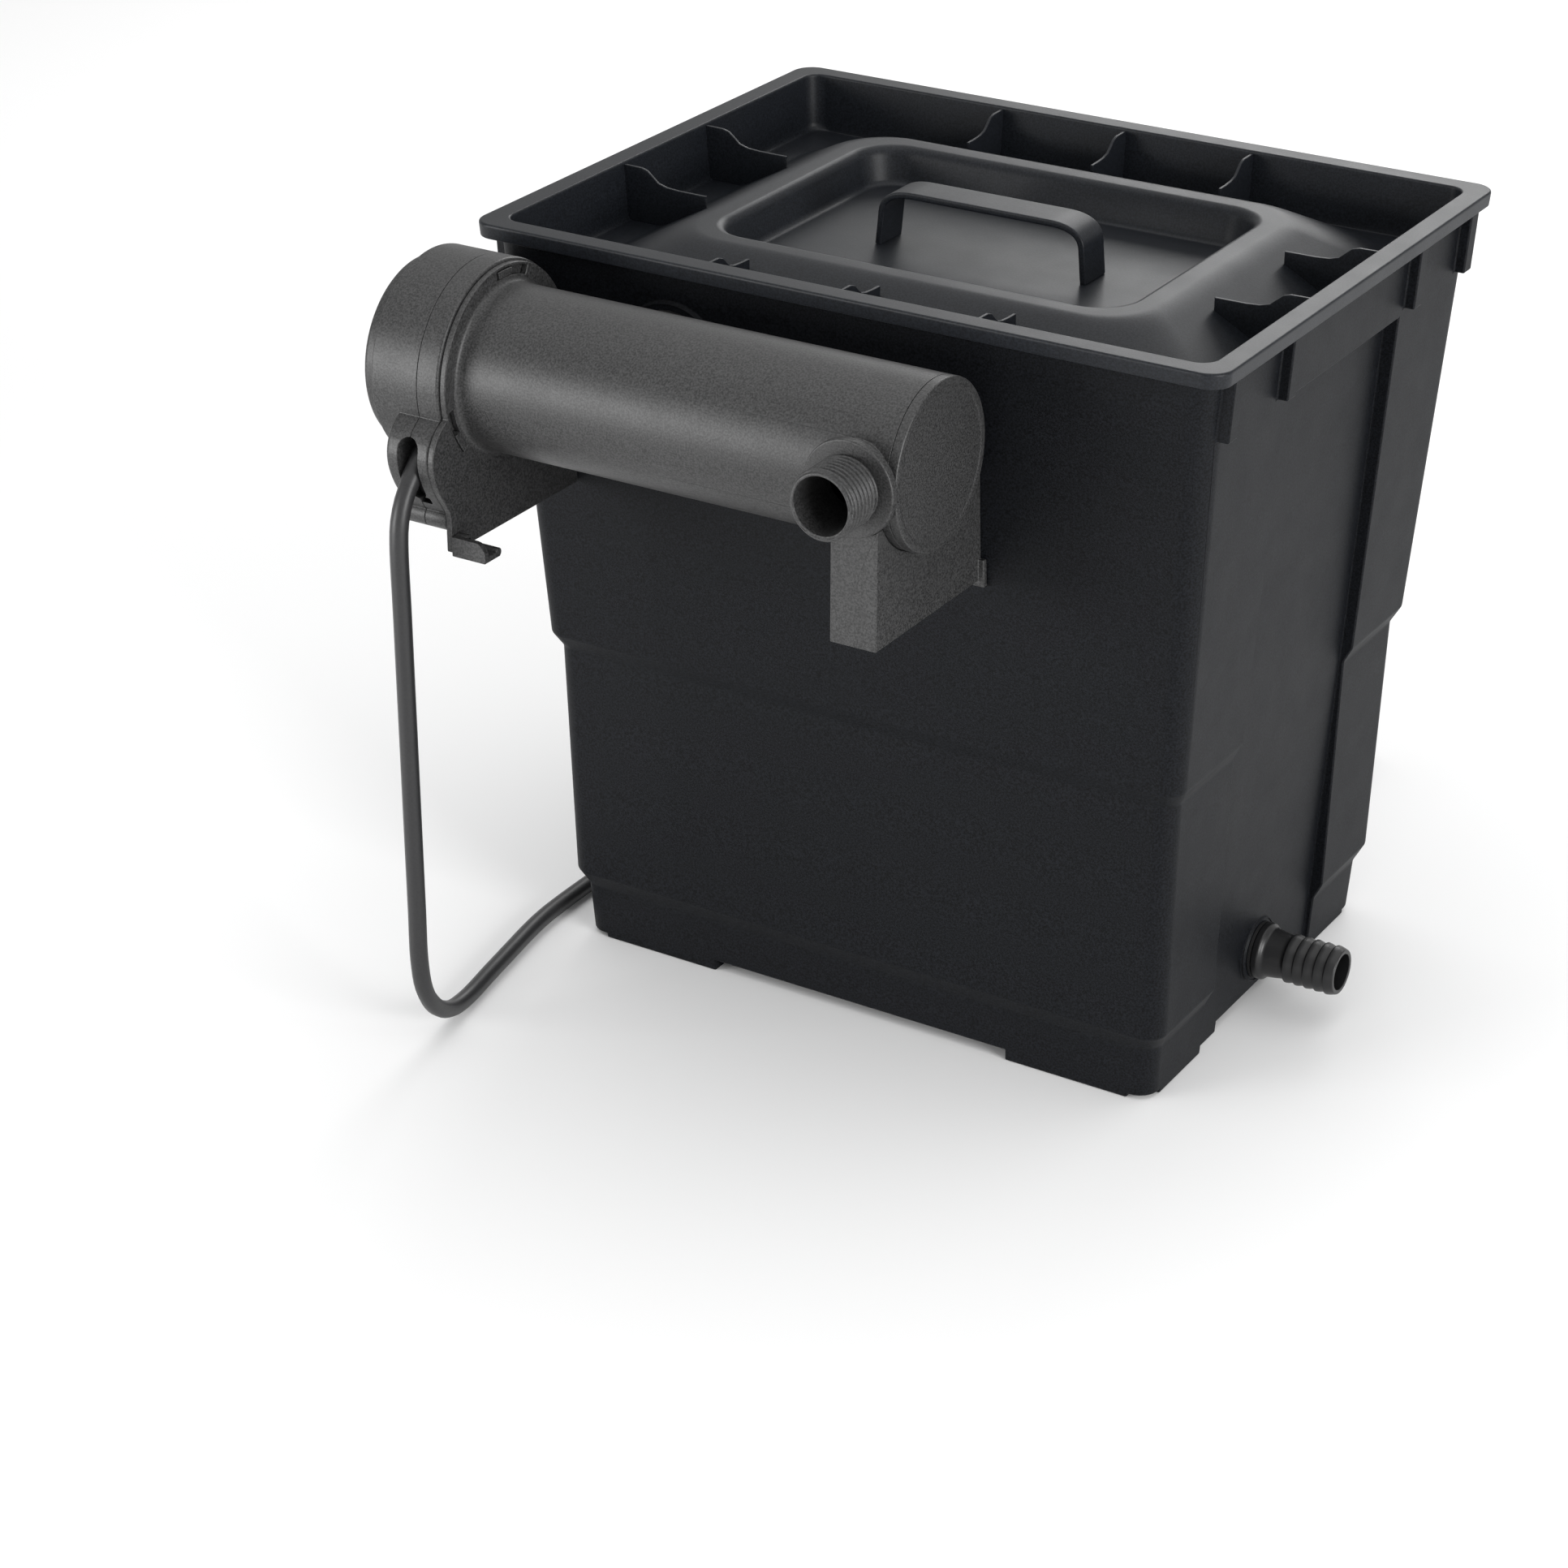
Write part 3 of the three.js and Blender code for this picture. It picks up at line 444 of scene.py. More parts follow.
# ------------------------------------------------------------------------------------------ finishes
class Nodes:
    """Small helper that lays out one material's node tree."""

    def __init__(self, name: str) -> None:
        """Makes an empty material with a Principled surface."""
        self.material = bpy.data.materials.new(name)
        self.material.use_nodes = True
        self.tree = self.material.node_tree
        self.tree.nodes.clear()
        self.surface = self.tree.nodes.new("ShaderNodeBsdfPrincipled")
        output = self.tree.nodes.new("ShaderNodeOutputMaterial")
        self.link(self.surface.outputs["BSDF"], output.inputs["Surface"])
        self.place = self.tree.nodes.new("ShaderNodeTexCoord").outputs["Object"]

    def link(self, output: Socket, target: Socket) -> None:
        """Joins two sockets."""
        self.tree.links.new(output, target)

    def set(self, **values: float | Colour) -> None:
        """Sets inputs of the Principled surface; underscores stand for spaces."""
        for key, value in values.items():
            socket = self.surface.inputs[key.replace("_", " ")]
            socket.default_value = (*value, 1.0) if isinstance(value, tuple) else value

    def noise(self, size: float, detail: float = 2.0, roughness: float = 0.5) -> Socket:
        """Noise whose features are about size metres."""
        node = self.tree.nodes.new("ShaderNodeTexNoise")
        node.inputs["Scale"].default_value = 1 / size
        node.inputs["Detail"].default_value = detail
        node.inputs["Roughness"].default_value = roughness
        self.link(self.place, node.inputs["Vector"])
        return node.outputs["Fac"]

    def cells(self, size: float, feature: str) -> Socket:
        """Cell pattern whose cells are about size metres."""
        node = self.tree.nodes.new("ShaderNodeTexVoronoi")
        node.feature = feature
        node.inputs["Scale"].default_value = 1 / size
        self.link(self.place, node.inputs["Vector"])
        return node.outputs["Distance"]

    def ramp(self, factor: Socket, stops: Sequence[tuple[float, Colour]]) -> Socket:
        """Colour that runs through stops as a factor grows."""
        node = self.tree.nodes.new("ShaderNodeValToRGB")
        elements = node.color_ramp.elements
        while len(elements) < len(stops):
            elements.new(0.5)
        for element, (position, colour) in zip(elements, stops):
            element.position = position
            element.color = (*colour, 1.0)
        self.link(factor, node.inputs["Fac"])
        return node.outputs["Color"]

    def span(self, factor: Socket, low: float, high: float) -> Socket:
        """A factor stretched over a span."""
        node = self.tree.nodes.new("ShaderNodeMapRange")
        node.inputs["From Min"].default_value = 0.3
        node.inputs["From Max"].default_value = 0.7
        node.inputs["To Min"].default_value = low
        node.inputs["To Max"].default_value = high
        self.link(factor, node.inputs["Value"])
        return node.outputs["Result"]

    def paint(self, tone: Socket) -> None:
        """Gives the surface its colour."""
        self.link(tone, self.surface.inputs["Base Color"])

    def roughen(self, size: float, low: float, high: float, detail: float = 2.0) -> None:
        """Lets the roughness run between two values over features of about size metres."""
        self.link(self.span(self.noise(size, detail), low, high), self.surface.inputs["Roughness"])

    def bump(self, height: Socket, strength: float, distance: float) -> None:
        """Adds a bump of a height in metres on top of any before it."""
        node = self.tree.nodes.new("ShaderNodeBump")
        node.inputs["Strength"].default_value = strength
        node.inputs["Distance"].default_value = distance
        self.link(height, node.inputs["Height"])
        normal = self.surface.inputs["Normal"]
        if normal.is_linked:
            self.link(normal.links[0].from_socket, node.inputs["Normal"])
        self.link(node.outputs["Normal"], normal)


def shade(colour: Colour, factor: float) -> Colour:
    """A colour made lighter or darker by a factor."""
    return tuple(min(1.0, part * factor) for part in colour)


@dataclass(frozen=True)
class Moulded:
    """Moulded plastic or rubber with a fine eroded grain.

    Args:
        name: Name of the material.
        colour: Linear colour.
        roughness: Middle roughness.
        grain: Size of the grain, in metres.
        depth: Depth of the grain, in metres.
        strength: How strongly the grain turns the surface.
        mottle: Share by which the colour drifts over the piece.
        speckle: Share by which single grains differ in colour.
        specular: Strength of the shine.
    """

    name: str
    colour: Colour
    roughness: float
    grain: float = 0.0009
    depth: float = 0.00006
    strength: float = 0.35
    mottle: float = 0.03
    speckle: float = 0.2
    specular: float = 0.5

    def material(self) -> Material:
        """Builds the node tree."""
        nodes = Nodes(self.name)
        drift = nodes.noise(0.11, 2)
        wide = nodes.ramp(drift, [
            (0.3, shade(self.colour, 1 - self.mottle)), (0.7, shade(self.colour, 1 + self.mottle)),
        ])
        grain = nodes.noise(self.grain, 1, 0.4)
        fine = nodes.ramp(grain, [(0.32, (1 - self.speckle,) * 3), (0.68, (1 + self.speckle,) * 3)])
        mix = nodes.tree.nodes.new("ShaderNodeVectorMath")
        mix.operation = "MULTIPLY"
        nodes.link(wide, mix.inputs[0])
        nodes.link(fine, mix.inputs[1])
        nodes.paint(mix.outputs["Vector"])
        nodes.set(Specular_IOR_Level=self.specular)
        nodes.roughen(0.02, self.roughness - 0.015, self.roughness + 0.02, 3)
        nodes.bump(grain, self.strength, self.depth)
        return nodes.material


@dataclass(frozen=True)
class Metal:
    """Bright metal with a faint mottle and a fine grain."""

    name: str
    colour: Colour
    roughness: float

    def material(self) -> Material:
        """Builds the node tree."""
        nodes = Nodes(self.name)
        nodes.set(Metallic=1.0)
        tone = nodes.ramp(nodes.noise(0.004, 3), [(0.3, shade(self.colour, 0.85)), (0.7, self.colour)])
        nodes.paint(tone)
        nodes.roughen(0.0015, self.roughness * 0.8, self.roughness * 1.3)
        nodes.bump(nodes.noise(0.0004, 1), 0.1, 0.00002)
        return nodes.material


@dataclass(frozen=True)
class Clear:
    """Clear quartz with faint drawing waves."""

    name: str

    def material(self) -> Material:
        """Builds the node tree."""
        nodes = Nodes(self.name)
        nodes.set(Transmission_Weight=0.92, IOR=1.46)
        tone = nodes.ramp(nodes.noise(0.05, 2), [(0.3, (0.86, 0.93, 0.96)), (0.7, (0.95, 0.98, 1.0))])
        nodes.paint(tone)
        nodes.roughen(0.02, 0.02, 0.06)
        nodes.bump(nodes.noise(0.015, 1), 0.05, 0.0004)
        return nodes.material


@dataclass(frozen=True)
class Foam:
    """Open foam or a mat of fibres, with painted shade deep in its pores.

    Args:
        name: Name of the material.
        pore_shade: Colour painted deep in the pores as shade.
        light: Colour of the strands.
        pore: Size of the pores, in metres.
    """

    name: str
    pore_shade: Colour
    light: Colour
    pore: float

    def material(self) -> Material:
        """Builds the node tree."""
        nodes = Nodes(self.name)
        nodes.set(Roughness=0.9, Sheen_Weight=0.2)
        pores = nodes.cells(self.pore, "SMOOTH_F1")
        strands = nodes.noise(self.pore * 0.45, 4, 0.7)
        add = nodes.tree.nodes.new("ShaderNodeMath")
        add.operation = "MULTIPLY_ADD"
        nodes.link(pores, add.inputs[0])
        add.inputs[1].default_value = 0.6
        nodes.link(strands, add.inputs[2])
        depth = add.outputs["Value"]
        # The colour runs from painted shade deep in the pores to the foam's own colour on the strands.
        tone = nodes.ramp(depth, [(0.62, self.pore_shade), (0.78, shade(self.light, 0.6)), (1.0, self.light)])
        nodes.paint(tone)
        nodes.bump(depth, 0.8, self.pore * 0.6)
        return nodes.material


@dataclass(frozen=True)
class NetOfGrains:
    """White grains seen through a fine net, with painted shade in the gaps between them."""

    name: str
    grain: float = 0.007

    def material(self) -> Material:
        """Builds the node tree."""
        nodes = Nodes(self.name)
        nodes.set(Roughness=0.85)
        edges = nodes.cells(self.grain, "DISTANCE_TO_EDGE")
        # Painted shade in the gaps between the grains, darkest where two grains meet; the grains themselves
        # are pale.
        tone = nodes.ramp(edges, [
            (0.0, (0.16, 0.15, 0.13)), (0.12, (0.62, 0.6, 0.55)), (0.5, (0.82, 0.81, 0.77)),
        ])
        nodes.paint(tone)
        nodes.bump(edges, 0.7, self.grain * 0.3)
        nodes.bump(nodes.noise(0.0012, 2), 0.3, 0.0003)
        return nodes.material


Finish = Moulded | Metal | Clear | Foam | NetOfGrains

TUB = Moulded("tub_plastic", (0.0055, 0.0062, 0.0078), 0.5, grain=0.0009, speckle=0.6, specular=0.12)
LID = Moulded("lid_plastic", (0.009, 0.0105, 0.0135), 0.42, grain=0.0009, speckle=0.4, specular=0.25)
HOUSING = Moulded("housing_plastic", (0.028, 0.028, 0.0283), 0.45, grain=0.0009, strength=0.9, speckle=0.6)
FITTING = Moulded("fitting_plastic", (0.0065, 0.0066, 0.0072), 0.36, grain=0.0006, strength=0.2, speckle=0.1)
SEAL = Moulded("seal_rubber", (0.006, 0.006, 0.0065), 0.6, grain=0.0005, strength=0.2, speckle=0.1)
SHEATH = Moulded("lead_sheath", (0.018, 0.018, 0.019), 0.42, grain=0.0012, strength=0.25, speckle=0.12)
PLUG = Moulded("plug_rubber", (0.008, 0.008, 0.0085), 0.5, grain=0.0006, strength=0.25, speckle=0.1)
POTTING = Moulded("potting", (0.011, 0.011, 0.014), 0.3, grain=0.002, strength=0.1, speckle=0.05)
CERAMIC = Moulded(
    "socket_ceramic", (0.66, 0.64, 0.58), 0.5, grain=0.0008, strength=0.2, mottle=0.04, speckle=0.05,
)
STEEL = Metal("stainless", (0.62, 0.63, 0.64), 0.28)
QUARTZ = Clear("quartz")
FINE_FOAM = Foam("fine_blue_foam", (0.0, 0.02, 0.12), (0.02, 0.2, 0.62), 0.0016)
MEDIUM_FOAM = Foam("medium_blue_foam", (0.0, 0.025, 0.16), (0.03, 0.16, 0.7), 0.0026)
COARSE_FOAM = Foam("coarse_grey_foam", (0.006, 0.006, 0.007), (0.13, 0.13, 0.135), 0.0045)
GRAINS = NetOfGrains("media_net")


class Finishes:
    """Materials that are made once and shared."""

    made: dict[str, Material] = {}

    @classmethod
    def of(cls, finish: Finish) -> Material:
        """The material of a finish."""
        if finish.name not in cls.made:
            cls.made[finish.name] = finish.material()
        return cls.made[finish.name]


@dataclass(frozen=True)
class Dressing:
    """What a finished piece is given.

    Args:
        body: CAD body that it rides on.
        slot: Material slot of the record; not used.
        finish: Its finish.
        bevel: Width of the edge rounding, in millimetres; 0 leaves the edges as they are.
        sharp: Angle in degrees above which an edge counts as sharp.
    """

    body: str
    slot: str
    finish: Finish
    bevel: float = 0.0
    sharp: float = 30.0


def finished(
    bm: Mesh, name: str, dressing: Dressing, replaces: Sequence[str] = (), ride: bool = True,
) -> Piece:
    """Places a mesh in the frame and dresses it.

    Args:
        bm: Mesh in millimetres about the tub's middle, which is used up.
        name: Name of the piece.
        dressing: Body, slot, finish and edges.
        replaces: CAD nodes that the piece stands for.
        ride: Whether it rides on its body straight away.

    Returns:
        The piece's object.
    """
    bmesh.ops.transform(bm, matrix=Matrix.Translation(CENTRE) @ Matrix.Scale(MM, 4), verts=bm.verts[:])
    for face in bm.faces:
        face.smooth = True
    made = to_object(bm, name)
    made.data.set_sharp_from_angle(angle=math.radians(dressing.sharp))
    made.data.materials.append(Finishes.of(dressing.finish))
    if dressing.bevel > 0:
        bevel = made.modifiers.new("soft_edges", "BEVEL")
        bevel.width = dressing.bevel * MM
        bevel.segments = 2
        bevel.limit_method = "ANGLE"
        bevel.angle_limit = math.radians(dressing.sharp)
        bevel.use_clamp_overlap = False
    weighted = made.modifiers.new("flat_faces", "WEIGHTED_NORMAL")
    weighted.keep_sharp = True
    if replaces:
        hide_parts(*replaces)
    if ride:
        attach(made, dressing.body)
    LOG.info("%s: %d faces", name, len(made.data.polygons))
    return made


def dress_node(node: str, finish: Finish) -> None:
    """Gives a CAD node that is shown its procedural material."""
    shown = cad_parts[node]
    shown.data.materials.clear()
    shown.data.materials.append(Finishes.of(finish))
    LOG.info("%s keeps its own shape", node)


# -------------------------------------------------------------------------------------------- studio
@dataclass
class Studio:
    """Camera, floor and soft lights."""

    eye: tuple[float, float, float] = (0.85387, -1.52692, 0.99214)
    azimuth: float = 31.711
    elevation: float = 26.918
    lens: float = 88.47
    floor_size: float = 14.0

    def camera(self) -> None:
        """Makes the scene's camera."""
        data = bpy.data.cameras.new("camera")
        data.lens = self.lens
        data.sensor_width = 36
        data.clip_end = 50
        camera = bpy.data.objects.new("camera", data)
        camera.location = self.eye
        camera.rotation_euler = (math.radians(90 - self.elevation), 0, math.radians(self.azimuth))
        bpy.context.scene.collection.objects.link(camera)
        bpy.context.scene.camera = camera

    def floor(self) -> None:
        """Makes the pale floor."""
        bm = bmesh.new()
        bmesh.ops.create_grid(bm, x_segments=1, y_segments=1, size=self.floor_size / 2)
        ground = to_object(bm, "floor")
        ground.location.z = -0.0002
        nodes = Nodes("floor")
        nodes.set(Base_Color=(0.92, 0.92, 0.92), Roughness=0.9, Specular_IOR_Level=0.0)
        ground.data.materials.append(nodes.material)

    def light(self, name: str, place: Sequence[float], size: tuple[float, float], power: float) -> None:
        """Rectangular lamp that points at the middle of the filter.

        Args:
            name: Name of the lamp.
            place: Where it hangs, in metres.
            size: Width and height in metres.
            power: Power in watts.
        """
        data = bpy.data.lights.new(name, "AREA")
        data.shape = "RECTANGLE"
        data.size, data.size_y = size
        data.energy = power
        lamp = bpy.data.objects.new(name, data)
        lamp.location = place
        lamp.rotation_euler = (Vector((0, 0, 0.2)) - Vector(place)).to_track_quat("-Z", "Y").to_euler()
        bpy.context.scene.collection.objects.link(lamp)

    def lights(self) -> None:
        """Hangs the lamps and sets the pale surroundings."""
        self.light("overhead", (0.0, 0.2, 3.0), (4.0, 4.0), 42)
        self.light("rear", (-0.5, 2.2, 1.35), (1.2, 0.9), 15)
        self.light("key", (-1.45, -1.9, 0.42), (1.1, 0.8), 28)
        self.light("fill", (2.6, -0.9, 0.9), (1.2, 1.2), 55)
        world = bpy.data.worlds.new("surroundings")
        world.use_nodes = True
        background = world.node_tree.nodes["Background"]
        background.inputs["Color"].default_value = (1.0, 1.0, 1.0, 1.0)
        background.inputs["Strength"].default_value = 0.6
        bpy.context.scene.world = world
        bpy.context.scene.view_settings.view_transform = "Standard"


# ------------------------------------------------------------------------------------------ sub-assemblies
@dataclass
class ClarifierPlan:
    """Sizes that the clarifier, its head and its lead share, in millimetres."""

    y: float = -195.5
    z: float = 345.0
    seam: float = -165.65
    plate_left: float = -153.5
    plate_right: float = -150.5
    lug_angles: tuple[float, ...] = (82.0, 205.0, 325.0)
    slot_width: float = 11.6
    slot_low: float = 293.0
    slot_high: float = 325.5
    rod_y: float = -239.0
    rod_z: float = 282.0
    inlet_x: float = 63.5
    outlet_x: float = -90.0

    @property
    def axis(self) -> Vector:
        """A point on the clarifier's axis, which runs along X."""
        return Vector((0, self.y, self.z))

    def drum(self, corners: Outline, closed: bool = True, steps: int = 3) -> Mesh:
        """Shape turned about the axis; steps are the pieces in each rounded corner."""
        return turned(soft_outline(corners, closed=closed, steps=steps), Axis.X, self.axis, 144)

    def core(self, radius: float, left: float, right: float) -> Mesh:
        """Solid cylinder about the axis."""
        return pipe(0, radius, left, right, Axis.X, self.axis, 0, 144)

    def rod(self, radius: float, left: float, right: float, ease: float = 0.0, steps: int = 24) -> Mesh:
        """Round rod under the cable nose, or a hole along it."""
        return pipe(0, radius, left, right, Axis.X, (0, self.rod_y, self.rod_z), ease, steps)

    def sector(self, inner: float, outer: float, start: float, end: float, left: float, right: float) -> Mesh:
        """Part of a ring about the axis, between two angles in degrees."""
        def arc(radius: float, first: float, last: float) -> list[Vector]:
            """Points of an arc about the axis."""
            angles = [math.radians(first + (last - first) * k / 6) for k in range(7)]
            return [Vector((self.y + radius * math.cos(a), self.z + radius * math.sin(a))) for a in angles]

        return prism([*arc(outer, start, end), *arc(inner, end, start)], Axis.X, left, right)

    def slot(self, grow: float, start: float, end: float) -> Mesh:
        """Upright cable slot, between two distances along Y, made wider all round by grow."""
        radius = self.slot_width / 2 + grow
        ends = ((self.slot_high - self.slot_width / 2, 0), (self.slot_low + self.slot_width / 2, 180))
        outline = [
            Vector((self.seam + radius * math.cos(math.radians(turn + 15 * k)),
                    z + radius * math.sin(math.radians(turn + 15 * k))))
            for z, turn in ends for k in range(13)
        ]
        return prism(outline, Axis.Y, start, end)


PLAN = ClarifierPlan()

# Free part of the mains lead, from the gland to the coil behind the tub, and from the coil to the plug.
LEAD_ROUTE = (
    (PLAN.seam, -247, 311.4), (PLAN.seam, -250.4, 308), (PLAN.seam, -253.8, 304.6),
    (PLAN.seam, -260.1, 296.3), (PLAN.seam, -264.1, 286.7), (PLAN.seam, -265.5, 276.3),
    (PLAN.seam, -265.5, 240), (PLAN.seam, -265.5, 200), (PLAN.seam, -265.5, 160),
    (PLAN.seam, -265.5, 120), (PLAN.seam, -265.5, 80), (PLAN.seam, -265.5, 52.9),
    (-166.3, -261.9, 34.5), (-168.1, -251.7, 19), (-170.8, -236.3, 8.6), (-174, -218.2, 4.9),
    (-179.2, -188.7, 4.9), (-183.1, -166.5, 4.9), (-187, -144.3, 4.9), (-189.2, -127, 4.9),
    (-190, -109.7, 4.9), (-190, -60, 4.9), (-190, 0, 4.9), (-190, 50, 4.9), (-190, 90.4, 4.9),
    (-187.5, 106.2, 4.9), (-180.4, 120.5, 4.9), (-169.2, 132, 4.9), (-158, 143.5, 4.9),
    (-150.9, 157.8, 4.9), (-148.4, 173.6, 4.9),
)
TAIL_ROUTE = (
    (-86.9, 272.5, 41.3), (-67, 272.5, 41.3), (-49.4, 272.5, 40.6), (-38, 272.5, 39.5), (-26, 272.5, 36.4),
    (-12, 272.5, 31), (0, 272.5, 25.2), (10, 272.5, 21.1), (18, 272.5, 19.2), (24, 272.5, 18.8),
    (28, 272.5, 18.8),
)


@dataclass
class MainsLead:
    """Free mains lead with its strain relief, the tied coil of its spare length, and the plug."""

    radius: float = 4.5
    length: float = 5.0
    coil_x: float = -86.9
    coil_y: float = 211.0
    columns: tuple[float, ...] = (61.5, 52.4, 43.3)
    pitch: float = 9.1
    coil_turn: int = 4410
    step_width: float = 120.0
    step_lead: float = 30.0
    rest: float = 4.9
    blend_low: float = 100.0
    blend_high: float = 276.0
    tie_width: float = 14.0
    plug_x: float = 28.4
    plug_z: float = 18.8

    def coil_moves(self) -> list[tuple[float, int, int]]:
        """Where in its winding, in degrees, the lead steps to another column or layer.

        Returns:
            Angle at which each step is done, and the change of column and of layer.
        """
        moves: list[tuple[float, int, int]] = []
        for layer in range(4):
            sideways = 1 if layer % 2 == 0 else -1
            done = 1080 * layer - 2 * layer * self.step_lead
            moves += [
                (done + 360, sideways, 0), (done + 720, sideways, 0), (done + 1080 - self.step_lead, 0, 1),
            ]
        return moves

    def coil(self) -> list[Vector]:
        """Centre line of the coil: five layers that fill inwards and outwards in turn."""
        moves = self.coil_moves()
        line: list[Vector] = []
        for turned_by in range(0, self.coil_turn + 1, 5):
            column = layer = 0.0
            for done, sideways, up in moves:
                share = min(1.0, max(0.0, 1 + (turned_by - done) / self.step_width))
                share = 2 * share**2 if share < 0.5 else 1 - 2 * (1 - share) ** 2
                column += sideways * share
                layer += up * share
            radius = self.columns[0] - self.pitch * column
            angle = math.radians(180 - turned_by)
            line.append(Vector((
                self.coil_x + radius * math.cos(angle), self.coil_y + radius * math.sin(angle),
                self.rest + self.pitch * layer,
            )))
        return line

    def centre_line(self) -> list[Vector]:
        """Whole centre line from the gland to the plug, in millimetres."""
        lead_in = [Vector((self.coil_x - self.columns[0], y, self.rest)) for y in (186, 198)]
        return [*smooth_route(LEAD_ROUTE, 5), *lead_in, *self.coil(), *smooth_route(TAIL_ROUTE, 5)[1:]]

    def tube(self, name: str, line: Sequence[Vector], radius: float, taper: float = 1.0) -> Mesh:
        """Round tube along a line.

        Args:
            name: Name for the working curve.
            line: Points of the centre line, in millimetres.
            radius: Radius at the start.
            taper: Radius at the end as a share of the one at the start.

        Returns:
            The closed mesh in millimetres.
        """
        curve = bpy.data.curves.new(name, "CURVE")
        curve.dimensions = "3D"
        curve.bevel_depth = radius
        curve.bevel_resolution = 3
        curve.use_fill_caps = True
        spline = curve.splines.new("POLY")
        spline.points.add(len(line) - 1)
        for k, (point, at) in enumerate(zip(spline.points, line)):
            point.co = (*at, 1)
            point.radius = 1 + (taper - 1) * k / (len(line) - 1)
        holder = bpy.data.objects.new(name, curve)
        bpy.context.scene.collection.objects.link(holder)
        bm = evaluated(holder)
        bpy.data.objects.remove(holder)
        bpy.data.curves.remove(curve)
        return settle(bm)

    def strain_relief(self) -> Piece:
        """Tapered sleeve where the lead leaves the head."""
        line = smooth_route(((PLAN.seam, -236.4, 317.2), (PLAN.seam, -241.4, 315.6), *LEAD_ROUTE[:5]), 1.5)
        sleeve = self.tube("sleeve", line[:18], self.radius + 1.0, 0.84)
        return finished(sleeve, "strain_relief", Dressing("lamp_head", "lead_sheath", SHEATH, 0, 50))

    def ties(self) -> list[Piece]:
        """Two hook-and-loop straps round the coil."""
        outline = [
            (39.0, 0.02), (67.8, 0.02), (67.8, 45.0, 1.5), (66.2, 46.25, 1), (59.0, 46.25, 2),
            (41.0, 37.4, 2), (39.0, 35.6, 1),
        ]
        straps = []
        for number, turn in enumerate((0, -90), 1):
            bm = prism(soft_outline(outline, 1.2), Axis.Y, -self.tie_width / 2, self.tie_width / 2)
            ends = [face for face in bm.faces if abs(face.normal.y) > 0.9]
            bmesh.ops.delete(bm, geom=ends, context="FACES_ONLY")
            bmesh.ops.solidify(bm, geom=bm.faces[:], thickness=0.4)
            place = Matrix.Translation((self.coil_x, self.coil_y, 0))
            turn_it = Matrix.Rotation(math.radians(turn), 4, "Z")
            bmesh.ops.transform(bm, matrix=place @ turn_it, verts=bm.verts[:])
            straps.append(finished(bm, f"coil_tie_{number}", Dressing("root", "seal_rubber", SEAL)))
        return straps

    def plug(self) -> tuple[Piece, Piece]:
        """Round mains plug with a grip and two pins, and the pins themselves."""
        centre = (self.plug_x, TAIL_ROUTE[-1][1], self.plug_z)
        body = turned(soft_outline([
            (0, 0, 0), (0, 6.4, 0.5), (16, 7.6, 3), (19, 12.4, 2), (25, 14.2, 1), (27, 13.2, 1),
            (31, 13.6, 1), (33, 15.6, 1), (37, 18.4, 2), (58, 18.5, 0.8), (58, 16.4, 0.4), (56.2, 16.2, 0.4),
            (56.2, 0, 0),
        ], closed=False), Axis.X, centre, 64)
        grooves = [
            pipe(15.9, 20, along, along + 1.4, Axis.X, centre, 0.3, 64) for along in (40, 43.4, 46.8, 50.2)
        ]
        body = combined(body, cut=grooves)
        shell = finished(body, "plug_body", Dressing("root", "plug_rubber", PLUG, 0.25), ["mains_plug"])
        pin, other = [
            turned(
                [(54, 0), (54, 2.4), (75.4, 2.4), (76.6, 1.6), (77, 0)], Axis.X,
                (centre[0], centre[1] + side * 9.5, centre[2]), 24,
            )
            for side in (-1, 1)
        ]
        contacts = finished(combined(pin, add=[other]), "plug_pins", Dressing("root", "stainless", STEEL))
        return shell, contacts

    def build(self) -> None:
        """Makes the lead and everything on it."""
        line = self.centre_line()
        lead = finished(
            self.tube("lead", line, self.radius), "lead", Dressing("root", "lead_sheath", SHEATH, 0, 50),
            ["mains_cable", "cable_coil", "cable_tail"], ride=False,
        )
        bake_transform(lead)
        relief = self.strain_relief()
        shell, pins = self.plug()
        path = [to_frame(point) for point in line]
        measured = sum((b - a).length for a, b in zip(path, path[1:]))
        LOG.info("lead: %.3f m along its line", measured)
        self.ties()


